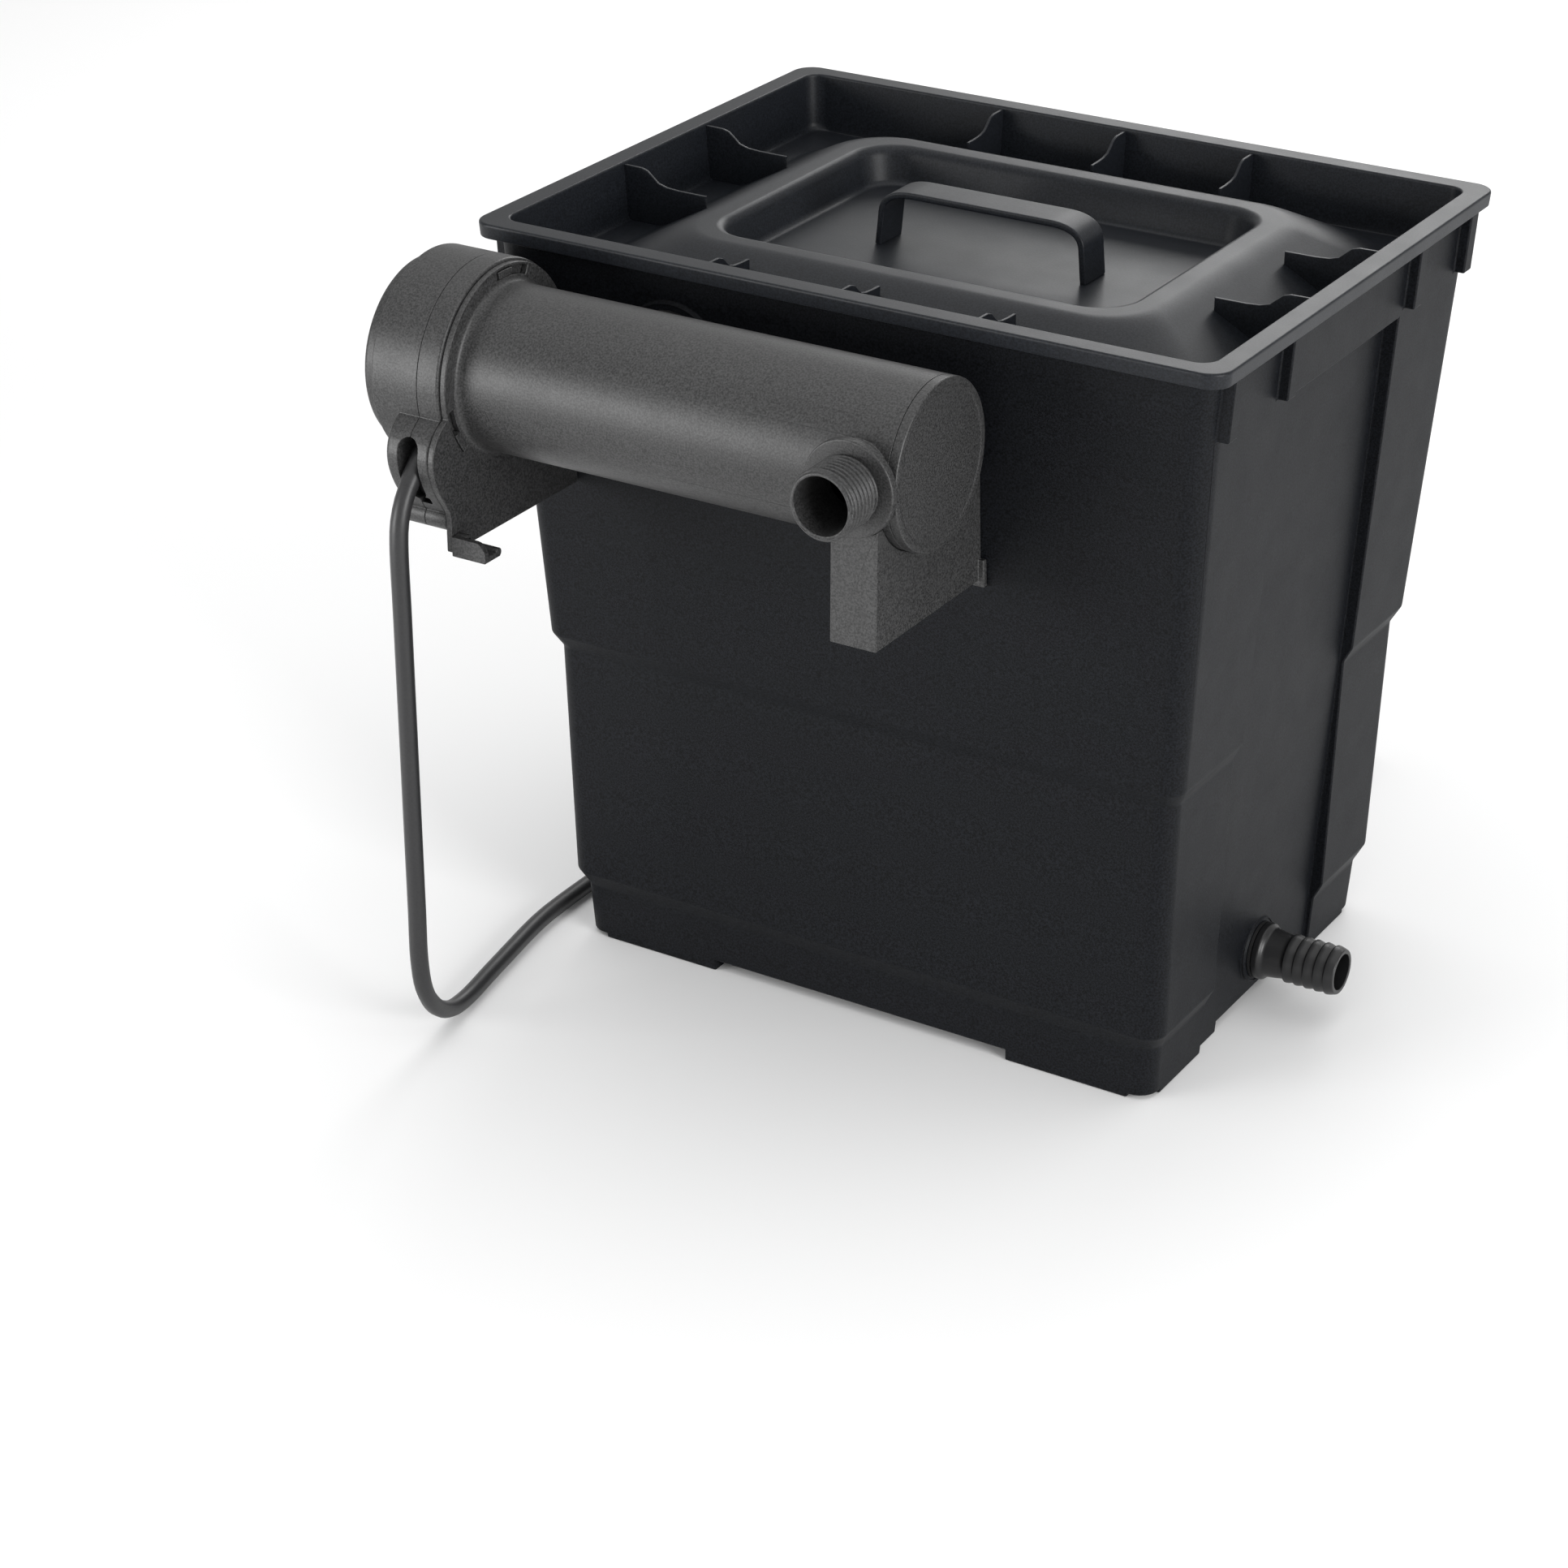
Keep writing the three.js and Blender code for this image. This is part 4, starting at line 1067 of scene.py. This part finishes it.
@dataclass
class Tub:
    """Moulded tub that stands on the ground and carries everything."""

    wall: float = 2.4
    floor: float = 9.0
    profile: tuple[tuple[float, float, float], ...] = (
        (392.7, 7.2, 0.6), (176, 21.2, 1.0), (168, 25.4, 1.4), (39, 28.4, 1.0), (30, 32.8, 1.6), (0, 34.6, 0),
    )
    corner_top: float = 13.0
    corner_low: float = 10.5
    rib_y: tuple[float, ...] = (-132, -71, 71, 132)
    screw_x: float = 64.0
    screw_z: tuple[float, ...] = (283, 303)

    def shell(self, grow: float) -> Mesh:
        """The tub's outside, or its room when grow moves the walls inwards."""
        levels = []
        for k, (z, inset, ease) in enumerate(self.profile):
            radius = (self.corner_top if k == 0 else self.corner_low) - (1 if grow else 0)
            height = z + (1.3 if grow and k == 0 else 0)
            if grow and k == len(self.profile) - 1:
                height = self.floor
            if grow and 0 < k < len(self.profile) - 1:
                height += 1
            levels.append(rim_level(height, inset + grow + (0.6 if grow and k > 1 else 0), radius, ease))
        return stacked(levels, 8)

    def recess(self, grow: float) -> list[Mesh]:
        """Wedges taken out of both short walls to make the recessed panels."""
        x_top, x_foot, top, half = 182.9, 162.6, 354 + grow, 63 + grow
        slope = (x_top - x_foot) / 354
        right = prism(
            [(x_top + slope * grow - grow, top), (x_foot - slope * 2 - grow, -2), (230, -2), (230, top)],
            Axis.Y, -half, half,
        )
        return both_sides(right)

    def ribs(self) -> list[Mesh]:
        """Ribs under the rim of the short walls."""
        wall = HALF_X - 9.4
        outline = [(wall - 2, 358), (wall + 5.6, 358), (wall + 7.6, 388.2), (wall - 2, 388.2)]
        return [rib for y in self.rib_y for rib in both_sides(prism(outline, Axis.Y, y - 4.5, y + 4.5))]

    def feet(self) -> list[Mesh]:
        """What is taken away under the floor so that two feet stay along each bottom edge."""
        inset = self.profile[-1][1]
        half_x, half_y = HALF_X - inset, HALF_Y - inset
        mid_x, mid_y = half_x - 80, half_y - 80
        cuts = [block((-mid_x, -200, -1), (mid_x, 200, 6)), block((-250, -mid_y, -1), (250, mid_y, 6))]
        corner = block((half_x - 12, half_y - 12, -1), (half_x + 68, half_y + 68, 2.2))
        cuts += [mirrored(corner, Vector((sx, sy, 1))) for sx in (-1, 1) for sy in (-1, 1)]
        corner.free()
        return cuts

    def build(self) -> None:
        """Makes the tub."""
        room = combined(self.shell(self.wall), cut=self.recess(self.wall + 0.6))
        inlet, outlet = (PLAN.outlet_x, 0, PLAN.z), (0, 0, HoseOutlet.z)
        bosses = [
            pipe(0, 28, -147.5, -142, Axis.Y, inlet, 0.3), pipe(0, 18, -147.5, -139.5, Axis.Y, inlet, 0.3),
            pipe(0, 17, 155, 166, Axis.X, outlet, 0.3),
        ]
        holes = [
            pipe(0, 15.5, -160, -120, Axis.Y, inlet, 0), pipe(0, 11.8, 140, 180, Axis.X, outlet, 0),
            *[pipe(0, 2.3, -150, -120, Axis.Y, (self.screw_x, 0, z), 0, 24) for z in self.screw_z],
        ]
        body = combined(self.shell(0), cut=self.recess(0))
        body = combined(body, add=[*self.ribs(), *bosses])
        body = combined(body, cut=[room])
        body = combined(body, cut=[*self.feet(), *holes])
        finished(body, "tub", Dressing("root", "tub_plastic", TUB, 0.8, 28), ["filter_box"])


@dataclass
class Lid:
    """Tray-shaped lid with a raised ring, a sunk panel, stiffening fins and a carrying handle."""

    skin: float = 1.8
    floor: float = 366.0
    crest: float = 387.0
    panel: float = 368.0
    fin: float = 1.5
    fin_x: tuple[float, ...] = (-72, 0, 72)
    fin_y: tuple[float, ...] = (-38, 38)

    def tray(self) -> Mesh:
        """The whole lid as one wall of even thickness, without its fins."""
        surface = stacked([
            rim_level(388.5, 0.7, 10.5), rim_level(396, 0, 11, 1.7), rim_level(396, 11.6, 9, 1.3),
            rim_level(self.floor, 13.9, 8, 4.5), Level(self.floor, 166, 136, 42, 5.5),
            Level(385.4, 129.5, 99, 30, 8), Level(self.crest, 124, 93.5, 27, 3),
            Level(self.crest, 111.5, 81.5, 22, 5), Level(self.panel, 106.5, 76.5, 18, 3.5),
            Level(self.panel, 60, 40, 16),
        ], 14, open_start=True)
        if surface.faces[:][-1].normal.z < 0:
            bmesh.ops.reverse_faces(surface, faces=surface.faces[:])
        holder = to_object(surface, "tray")
        wall = holder.modifiers.new("wall", "SOLIDIFY")
        wall.thickness = self.skin
        wall.offset = -1
        wall.use_even_offset = True
        tray = evaluated(holder)
        bpy.data.objects.remove(holder)
        return settle(tray)

    def fins(self) -> list[Mesh]:
        """Fins between the tray's side walls and the raised ring."""
        along_x = [
            (188.4, 394.6), (178, 394.4), (174.5, 393.4), (171, 390.6), (168, 388), (163, 386.6),
            (156, 386.1), (140, 386), (140, 378.9), (166.5, 365), (187, 365),
        ]
        along_y = [
            (143.0, 394.6), (133, 394.4), (129.5, 393.2), (126.5, 390.4), (123.5, 388), (119, 386.8),
            (113, 386.3), (106.5, 386.2), (106.5, 380.5), (136.5, 365), (141.4, 365),
        ]
        half = self.fin / 2
        plates = []
        for y in self.fin_y:
            plates += both_sides(prism(along_x, Axis.Y, y - half, y + half))
        for x in self.fin_x:
            plates += both_sides(prism(along_y, Axis.X, x - half, x + half), (1, -1, 1))
        return plates

    def handle(self) -> Mesh:
        """Strap handle with rounded shoulders."""
        foot, shoulder, base, top = 57.0, 54.5, self.panel + 0.3, self.panel + 27.6
        section = soft_outline([(-10.5, -1.7), (10.5, -1.7), (10.5, 1.7), (-10.5, 1.7)], 1.0)
        side = [(foot, base), (foot - 0.6, base + 6), (shoulder, top)]
        corners = [Vector((x, 0, z)) for x, z in [*[(-x, z) for x, z in side], (0, top), *side[::-1]]]
        path = eased(corners, [0, 3, 17, 0, 17, 3, 0], closed=False, steps=12)
        return swept(section, path, Vector((0, 1, 0)))

    def build(self) -> None:
        """Makes the lid and its handle."""
        finished(
            joined(self.tray(), self.fins()), "lid_shell", Dressing("lid", "lid_plastic", LID, 0.25, 40),
            ["lid_tray"],
        )
        finished(self.handle(), "carry_handle", Dressing("lid", "lid_plastic", LID, 0, 50), ["lid_handle"])


@dataclass
class Clarifier:
    """Housing of the ultraviolet clarifier, its end cap and its bracket."""

    radius: float = 40.3
    bore: float = 37.4
    right: float = 79.9
    cap_end: float = 84.9
    disc: float = 49.8
    thread_pitch: float = 3.0
    thread_turns: int = 7

    def wall_front(self, z: float) -> float:
        """Y of the tub's front wall at a height above its shoulder."""
        top, inset = Tub.profile[0][:2]
        shoulder, low_inset = Tub.profile[1][:2]
        return inset + (top - z) / (top - shoulder) * (low_inset - inset) - HALF_Y

    def front_edge(self, proud: float = 0.0) -> list[tuple[float, ...]]:
        """Front edge of the cable nose in Y and Z, drawn out to the front by proud."""
        return [(-215, 338), (-236, 338, 4), *[(y - proud, *rest) for y, *rest in (
            (-246, 332.5, 4), (-252.5, 327.5, 4), (-256, 320, 3.4), (-256.6, 313, 3.4), (-255, 306, 3.4),
            (-251.5, 298.5, 3.4), (-247.5, 292.5, 3), (-244.3, 287, 2),
        )]]

    def nose(self) -> list[Vector]:
        """Side view of the cable nose, in Y and Z."""
        foot = [(-240, 283, 1), (-232, 283, 1), (-222, 292, 1), (-210, 306)]
        return soft_outline([*self.front_edge(), *foot], 0)

    def plate(self) -> list[Mesh]:
        """Fixed end plate: a disc and the web that runs down to the latch and back to the tub."""
        outline = [
            *self.front_edge(0.4), (-244.4, 281, 1), (-244.4, 267, 1), (self.wall_front(267) - 1, 267, 1),
            (self.wall_front(PLAN.z) - 1.2, PLAN.z, 1), (-170, PLAN.z + 10),
        ]
        return [
            pipe(0, self.disc, PLAN.plate_left, PLAN.plate_right, Axis.X, PLAN.axis, 0.5, 128),
            prism(soft_outline(outline, 0), Axis.X, PLAN.plate_left, PLAN.plate_right),
        ]

    def thread(self) -> Mesh:
        """Screw thread on the inlet, as one long ridge."""
        root, crest, pitch = 15.0, 16.6, self.thread_pitch
        steps = 60
        section = [(-0.42, root), (-0.12, crest), (0.12, crest), (0.42, root)]
        bm = bmesh.new()
        start = -242.6 - self.thread_turns * pitch
        verts = [bm.verts.new((radius, start + part * pitch, 0)) for part, radius in section]
        face = bm.faces.new(verts)
        geometry = [face, *face.edges, *face.verts]
        bmesh.ops.spin(
            bm, geom=geometry, cent=(0, 0, 0), axis=(0, 1, 0), dvec=(0, pitch / steps, 0),
            angle=math.tau * self.thread_turns, steps=steps * self.thread_turns, use_duplicate=False,
        )
        bmesh.ops.translate(bm, verts=bm.verts[:], vec=(PLAN.inlet_x, 0, PLAN.z))
        return settle(bm)

    def housing(self) -> Mesh:
        """Tube, end plate, inlet and outlet as one moulding."""
        inlet, outlet = (PLAN.inlet_x, 0, PLAN.z), (PLAN.outlet_x, 0, PLAN.z)
        latch_pin = (0, ReleaseLatch.y, ReleaseLatch.z)
        front = PLAN.y - self.radius - 0.4
        tube = PLAN.drum([
            (-160, 17.5, 0.2), (-160, 38.3, 0.4), (PLAN.plate_left, 38.3, 0.2), (PLAN.plate_left, 46.6, 0.2),
            (PLAN.plate_right, 46.6, 0.2), (PLAN.plate_right, self.radius, 6), (self.right, self.radius, 0.4),
            (self.right, self.bore, 0.2), (-153, self.bore, 0.2), (-153, 17.5, 0.2),
        ], steps=5)
        neck = combined(
            pipe(0, 20, -241, -222, Axis.Y, inlet, 0.3),
            cut=[block((self.right, front, PLAN.z - 40), (self.right + 20, -215, PLAN.z + 40))],
        )
        body = combined(tube, add=[
            *self.plate(), pipe(21.4, 24.6, -166, -156, Axis.X, PLAN.axis, 0.3),
            pipe(0, 23, -241, front, Axis.Y, inlet, 0.9), neck, pipe(0, 15.3, -264, -240, Axis.Y, inlet, 0.6),
            pipe(0, 25, -175, -149.9, Axis.Y, outlet, 1.0), pipe(0, 15, -175, -118, Axis.Y, outlet, 0.6),
        ])
        windows = [
            PLAN.sector(43.9, 48.4, angle - 15, angle + 15, PLAN.plate_left - 1, PLAN.plate_right + 1)
            for angle in PLAN.lug_angles
        ]
        body = combined(body, cut=[
            PLAN.core(self.bore, -153, self.right + 1), pipe(0, 13.8, -265, -200, Axis.Y, inlet, 0),
            pipe(0, 12, -190, -117, Axis.Y, outlet, 0),
            pipe(0, 1.8, PLAN.plate_left - 1, PLAN.plate_right + 1, Axis.X, latch_pin, 0, 24), *windows,
        ])
        return combined(body, add=[self.thread()])

    def end_cap(self) -> Mesh:
        """Flat cap that closes the right end of the tube."""
        return PLAN.drum([
            (80.2, 0, 0), (80.2, 34.5, 0.3), (71, 34.5, 0.3), (71, 37.1, 0.3), (80.2, 37.1, 0.3),
            (80.2, self.radius, 0.25), (self.cap_end, self.radius, 1.1), (self.cap_end, 36.6, 0.4),
            (self.cap_end - 0.35, 35.9, 0.4), (self.cap_end - 0.35, 0, 0),
        ], closed=False)

    def bracket(self) -> Mesh:
        """Upright block that holds the right end of the tube off the tub's wall."""
        left, right, foot, top = 52.0, 76.0, 267.0, 325.0
        rear = [self.wall_front(z) - 0.3 for z in (foot, top, 264, 278)]
        web = prism([(-236, foot), (rear[0], foot), (rear[1], top), (-236, top)], Axis.X, left, right)
        sole = [(rear[2] - 3, 264), (rear[2], 264), (rear[3], 278), (rear[3] - 3, 278)]
        pad = prism(sole, Axis.X, left - 3, right + 3)
        return combined(web, add=[pad], cut=[
            PLAN.core(self.radius + 0.3, 0, 130),
            pipe(0, 23.3, -260, -215, Axis.Y, (PLAN.inlet_x, 0, PLAN.z), 0),
            *[pipe(0, 2.3, -160, -130, Axis.Y, (Tub.screw_x, 0, z), 0, 24) for z in Tub.screw_z],
        ])

    def build(self) -> None:
        """Makes the housing, the cap and the bracket."""
        look = Dressing("root", "housing_plastic", HOUSING, 0.35, 35)
        finished(self.housing(), "clarifier_body", look, ["uvc_housing"])
        plain = Dressing("root", "housing_plastic", HOUSING)
        finished(self.end_cap(), "clarifier_end_cap", plain, ["uvc_end_cap"])
        finished(
            self.bracket(), "clarifier_bracket", Dressing("root", "housing_plastic", HOUSING, 0.5, 35),
            ["uvc_bracket"],
        )


@dataclass
class LampHead:
    """Two-part head that turns out of its bayonet with the lamp in it."""

    radius: float = 51.3
    bore: float = 47.0
    left: float = -192.0
    disc: float = 45.4
    disc_end: float = -201.0
    right: float = -153.8
    nose_left: float = -178.5
    seam_gap: float = 0.15
    throat: float = 38.9
    skin: float = 3.4

    def round_rim(self, bm: Mesh, at: float, size: float) -> Mesh:
        """Rounds the edges that lie in the plane X = at."""
        rim = [e for e in bm.edges if all(abs(v.co.x - at) < 1e-4 for v in e.verts)]
        bmesh.ops.bevel(
            bm, geom=rim, affect="EDGES", offset=size, offset_type="OFFSET", segments=3, profile=0.5,
            material=-1, clamp_overlap=True,
        )
        return bm

    def nose(self, left: float, right: float, rim: float, size: float) -> list[Mesh]:
        """Stretch of the cable nose and of the rod under it, with the edge at rim rounded."""
        side = prism(Clarifier().nose(), Axis.X, left, right)
        return [self.round_rim(side, rim, size), PLAN.rod(5.8, left, right, 0.35, 48)]

    def ring(self) -> Mesh:
        """Right half, with the bayonet lugs."""
        start, back = PLAN.seam + self.seam_gap, self.right - self.skin
        drum = PLAN.drum([
            (start, self.bore, 0.1), (start, self.radius, 0.2), (self.right, self.radius, 1.3),
            (self.right, self.throat, 0.3), (back, self.throat, 0.3), (back, self.bore, 0.3),
        ])
        lugs = [
            PLAN.sector(44.4, 47.9, angle + 1, angle + 14, self.right - 1, PLAN.plate_right + 0.6)
            for angle in PLAN.lug_angles
        ]
        return combined(drum, add=[*self.nose(start, self.right, self.right, 1.3), *lugs], cut=[
            PLAN.core(self.bore, PLAN.seam - 5, back), PLAN.core(self.throat, PLAN.seam - 5, self.right + 1),
            PLAN.slot(0, -262, -222),
            block((PLAN.seam - 1, -262, 290.6), (PLAN.seam + 6.4, -238, 294.4), 0.8),
            PLAN.rod(2.1, PLAN.seam - 5, -156),
        ])

    def cap(self) -> Mesh:
        """Left half, which closes the head."""
        end = PLAN.seam - self.seam_gap
        drum = PLAN.drum([
            (self.disc_end, 0, 0), (self.disc_end, self.disc, 2.4), (self.left, self.disc + 0.6, 0.8),
            (self.left, self.radius, 1.0), (end, self.radius, 0.2), (end, self.bore, 0.1),
            (self.left + 3, self.bore, 0.3), (self.left + 3, self.disc - 3, 0.3),
            (self.disc_end + 3, self.disc - 3, 0.3), (self.disc_end + 3, 0, 0),
        ], closed=False)
        return combined(drum, add=self.nose(self.nose_left, end, self.nose_left, 3.0), cut=[
            PLAN.core(self.bore, self.left + 3, end + 1), PLAN.slot(0, -262, -222),
            PLAN.rod(2.1, self.nose_left - 1, end + 1),
            PLAN.rod(4, self.nose_left - 1, self.nose_left + 4, steps=32),
        ])

    def build(self) -> None:
        """Makes both halves and the cable grommet."""
        look = Dressing("lamp_head", "housing_plastic", HOUSING, 0.25, 40)
        finished(self.ring(), "head_front_half", look, ["head_ring"])
        finished(self.cap(), "head_rear_half", look, ["head_cap"])
        grommet = combined(PLAN.slot(-0.3, -243, -236), cut=[
            pipe(0, 4.6, -245, -234, Axis.Y, (PLAN.seam, 0, 316.4), 0, 32),
        ])
        finished(grommet, "gland_grommet", Dressing("lamp_head", "seal_rubber", SEAL, 0.3), ["cable_grommet"])


@dataclass
class ReleaseLatch:
    """Press latch under the end plate that keeps the head from turning."""

    y: float = -239.6
    z: float = 272.4
    left: float = -150.2
    right: float = -131.2
    front: float = -245.0
    foot: float = 265.7

    def build(self) -> None:
        """Makes the latch."""
        wall = prism(soft_outline([
            (self.left, self.foot, 0.4), (self.right, self.foot, 0.8), (self.right, self.foot + 5, 1.4),
            (self.right - 3, self.foot + 9.8, 2.6), (self.left, self.foot + 9.8, 0.6),
        ]), Axis.Y, self.front, self.front + 3)
        base = block(
            (self.left, self.front, self.foot), (self.right, self.front + 12.5, self.foot + 3.2), 0.4,
        )
        lip = pipe(0, 2.2, self.left, self.right, Axis.X, (0, self.front + 11.2, self.foot + 2.3), 0.5, 32)
        barrel = pipe(0, 3.6, self.left, self.left + 6, Axis.X, (0, self.y, self.z), 0.3, 48)
        bore = pipe(0, 1.85, self.left - 1, self.left + 7, Axis.X, (0, self.y, self.z), 0, 24)
        latch = combined(wall, add=[base, lip, barrel], cut=[bore])
        finished(
            latch, "latch_tab", Dressing("latch", "housing_plastic", HOUSING, 0.15, 35), ["release_latch"],
        )


@dataclass
class HoseOutlet:
    """Hose tail low on the right wall."""

    z: float = 30.0
    flange: float = 168.1
    end: float = 212.0
    root: float = 11.4
    crest: float = 12.9
    bore: float = 9.4
    pitch: float = 5.6

    def build(self) -> None:
        """Makes the hose tail with its five ridges, whose steep sides face the tub."""
        first = self.end - 5 * self.pitch
        ridges: list[tuple[float, ...]] = []
        for k in range(5):
            x = first + self.pitch * k
            low = self.root + 0.3
            ridges += [(x, low - 0.2, 0.2), (x + 0.5, self.crest, 0.5), (x + 2.6, self.crest - 0.3, 0.8)]
            ridges += [(x + self.pitch - 0.4, low, 0.4)]
        ridges[-1] = (self.end, self.root + 0.2, 0.5)
        profile = soft_outline([
            (148, self.bore, 0.3), (148, self.root, 0.3), (self.flange, self.root, 0.1),
            (self.flange, 14.8, 0.5), (self.flange + 3.4, 14.8, 0.8), (self.flange + 5, 12.8, 1),
            (first - 1, self.root, 1), *ridges, (self.end, self.bore, 0.4),
        ], closed=True)
        tail = turned(profile, Axis.X, (0, 0, self.z), 96)
        finished(tail, "hose_tail", Dressing("root", "fitting_plastic", FITTING, 0, 40), ["outlet_hose_barb"])


class MatKind(Enum):
    """Filter mats from the bottom up: node, name of the piece, finish, slot and roughness of the surface."""

    FINE = ("fine_mat", "fine_mat_blue", FINE_FOAM, "blue_foam", 0.5)
    MEDIUM = ("medium_mat", "medium_mat_blue", MEDIUM_FOAM, "blue_foam", 0.8)
    COARSE = ("coarse_mat", "coarse_mat_grey", COARSE_FOAM, "grey_mat", 1.2)


@dataclass
class FilterMedia:
    """Three mats on a grid, and a net bag of mineral grains on top of them."""

    half_x: float = 160.5
    half_y: float = 120.5
    thick: float = 20.0
    first: float = 55.0
    gap: float = 0.6
    pipe_x: float = 119.0
    hole: float = 11.0
    bag_x: float = -40.0

    def remeshed(self, bm: Mesh, voxel: float, push: Callable[[Vector], float]) -> Mesh:
        """Even mesh of a shape, with its surface pushed out or in.

        Args:
            bm: Closed shape, which is used up.
            voxel: Size of the new faces.
            push: How far each point moves along its normal.

        Returns:
            The new mesh.
        """
        holder = to_object(bm, "blank")
        remesh = holder.modifiers.new("even", "REMESH")
        remesh.mode = "VOXEL"
        remesh.voxel_size = voxel
        smooth = holder.modifiers.new("calm", "SMOOTH")
        smooth.factor, smooth.iterations = 0.5, 3
        even = evaluated(holder)
        bpy.data.objects.remove(holder)
        even.normal_update()
        moves = [(vert, vert.normal * push(vert.co)) for vert in even.verts]
        for vert, move in moves:
            vert.co += move
        return even

    def mat(self, order: int, kind: MatKind) -> None:
        """Makes one mat, cut from a sheet, with its surface pushed a little in and out.

        Args:
            order: Place in the pile from the bottom.
            kind: Which mat it is.
        """
        node, name, finish, slot, rough = kind.value
        low = self.first + order * (self.thick + self.gap)
        blank = stacked([
            Level(low + 0.4, self.half_x - 1.5, self.half_y - 1.5, 10, 1.5),
            Level(low + 1.2, self.half_x - 0.6, self.half_y - 0.6, 10, 1.0),
            Level(low + self.thick - 1.2, self.half_x - 0.6, self.half_y - 0.6, 10, 1.0),
            Level(low + self.thick - 0.4, self.half_x - 1.5, self.half_y - 1.5, 10, 1.5),
        ], 6)
        blank = combined(blank, cut=[
            pipe(0, self.hole, low - 2, low + self.thick + 2, Axis.Z, (self.pipe_x, 0, 0), 0, 48),
        ])

        def push(at: Vector) -> float:
            """Coarse fibres stand out or sink in a little."""
            return min(0.3, rough * noise.noise(at * 0.21 + Vector((order * 40, 0, 0)))) - 0.1

        made = finished(self.remeshed(blank, 3.2, push), name, Dressing("root", slot, finish, 0, 80), [node])

    def bag(self) -> None:
        """Makes the net bag: a slack cushion of grains."""
        low = self.first + 3 * (self.thick + self.gap) + 0.7
        levels = [
            Level(low, 88, 62, 24), Level(low + 2, 95, 69, 26, 4), Level(low + 12, 100, 74, 30, 6),
            Level(low + 21, 93, 67, 30, 6), Level(low + 27, 74, 50, 28, 6), Level(low + 28.5, 50, 30, 20),
        ]
        blank = stacked(levels, 8)
        bmesh.ops.translate(blank, verts=blank.verts[:], vec=(self.bag_x, 0, 0))

        def push(at: Vector) -> float:
            """Grains show as lumps, and the filling has settled unevenly."""
            if at.z < low + 1.5:
                return 0.0
            distance = noise.voronoi(at / 7.5)[0][0]
            slack = 2.2 * noise.noise(at * 0.03)
            return min(1.4, 1.5 - 3.2 * distance * distance + slack) - 0.6

        cushion = self.remeshed(blank, 2.6, push)
        made = finished(cushion, "grain_bag", Dressing("root", "media_net", GRAINS, 0, 80), ["media_bag"])

    def build(self) -> None:
        """Makes the mats and the bag."""
        for order, kind in enumerate(MatKind):
            self.mat(order, kind)
        self.bag()


class InnerPieces:
    """CAD nodes whose own shape is shown, with their finishes."""

    finishes: dict[str, Finish] = {
        "bracket_screw_1": STEEL, "bracket_screw_2": STEEL, "latch_pin": STEEL, "head_screw": STEEL,
        "uvc_outlet_seal": SEAL, "sleeve_o_ring": SEAL, "head_o_ring": SEAL, "outlet_seal": SEAL,
        "uvc_outlet_lock_nut": FITTING, "outlet_lock_nut": FITTING, "inlet_elbow": FITTING,
        "sleeve_nut": FITTING, "overflow_pipe": FITTING, "support_grid": FITTING, "quartz_sleeve": QUARTZ,
        "uv_lamp": QUARTZ,
        "lamp_socket": CERAMIC, "ballast": POTTING, "safety_switch": POTTING,
    }

    def build(self) -> None:
        """Dresses every node that is still shown."""
        for node, finish in self.finishes.items():
            dress_node(node, finish)


def main() -> None:
    """Builds the studio and every sub-assembly in order."""
    logging.basicConfig(level=logging.INFO, format="%(name)s %(message)s")
    studio = Studio()
    studio.camera()
    MainsLead().build()
    for kind in (Tub, Lid, Clarifier, LampHead, ReleaseLatch, HoseOutlet, FilterMedia, InnerPieces):
        LOG.info("building %s", kind.__name__)
        kind().build()
    studio.floor()
    studio.lights()


if __name__ == "__main__":
    main()
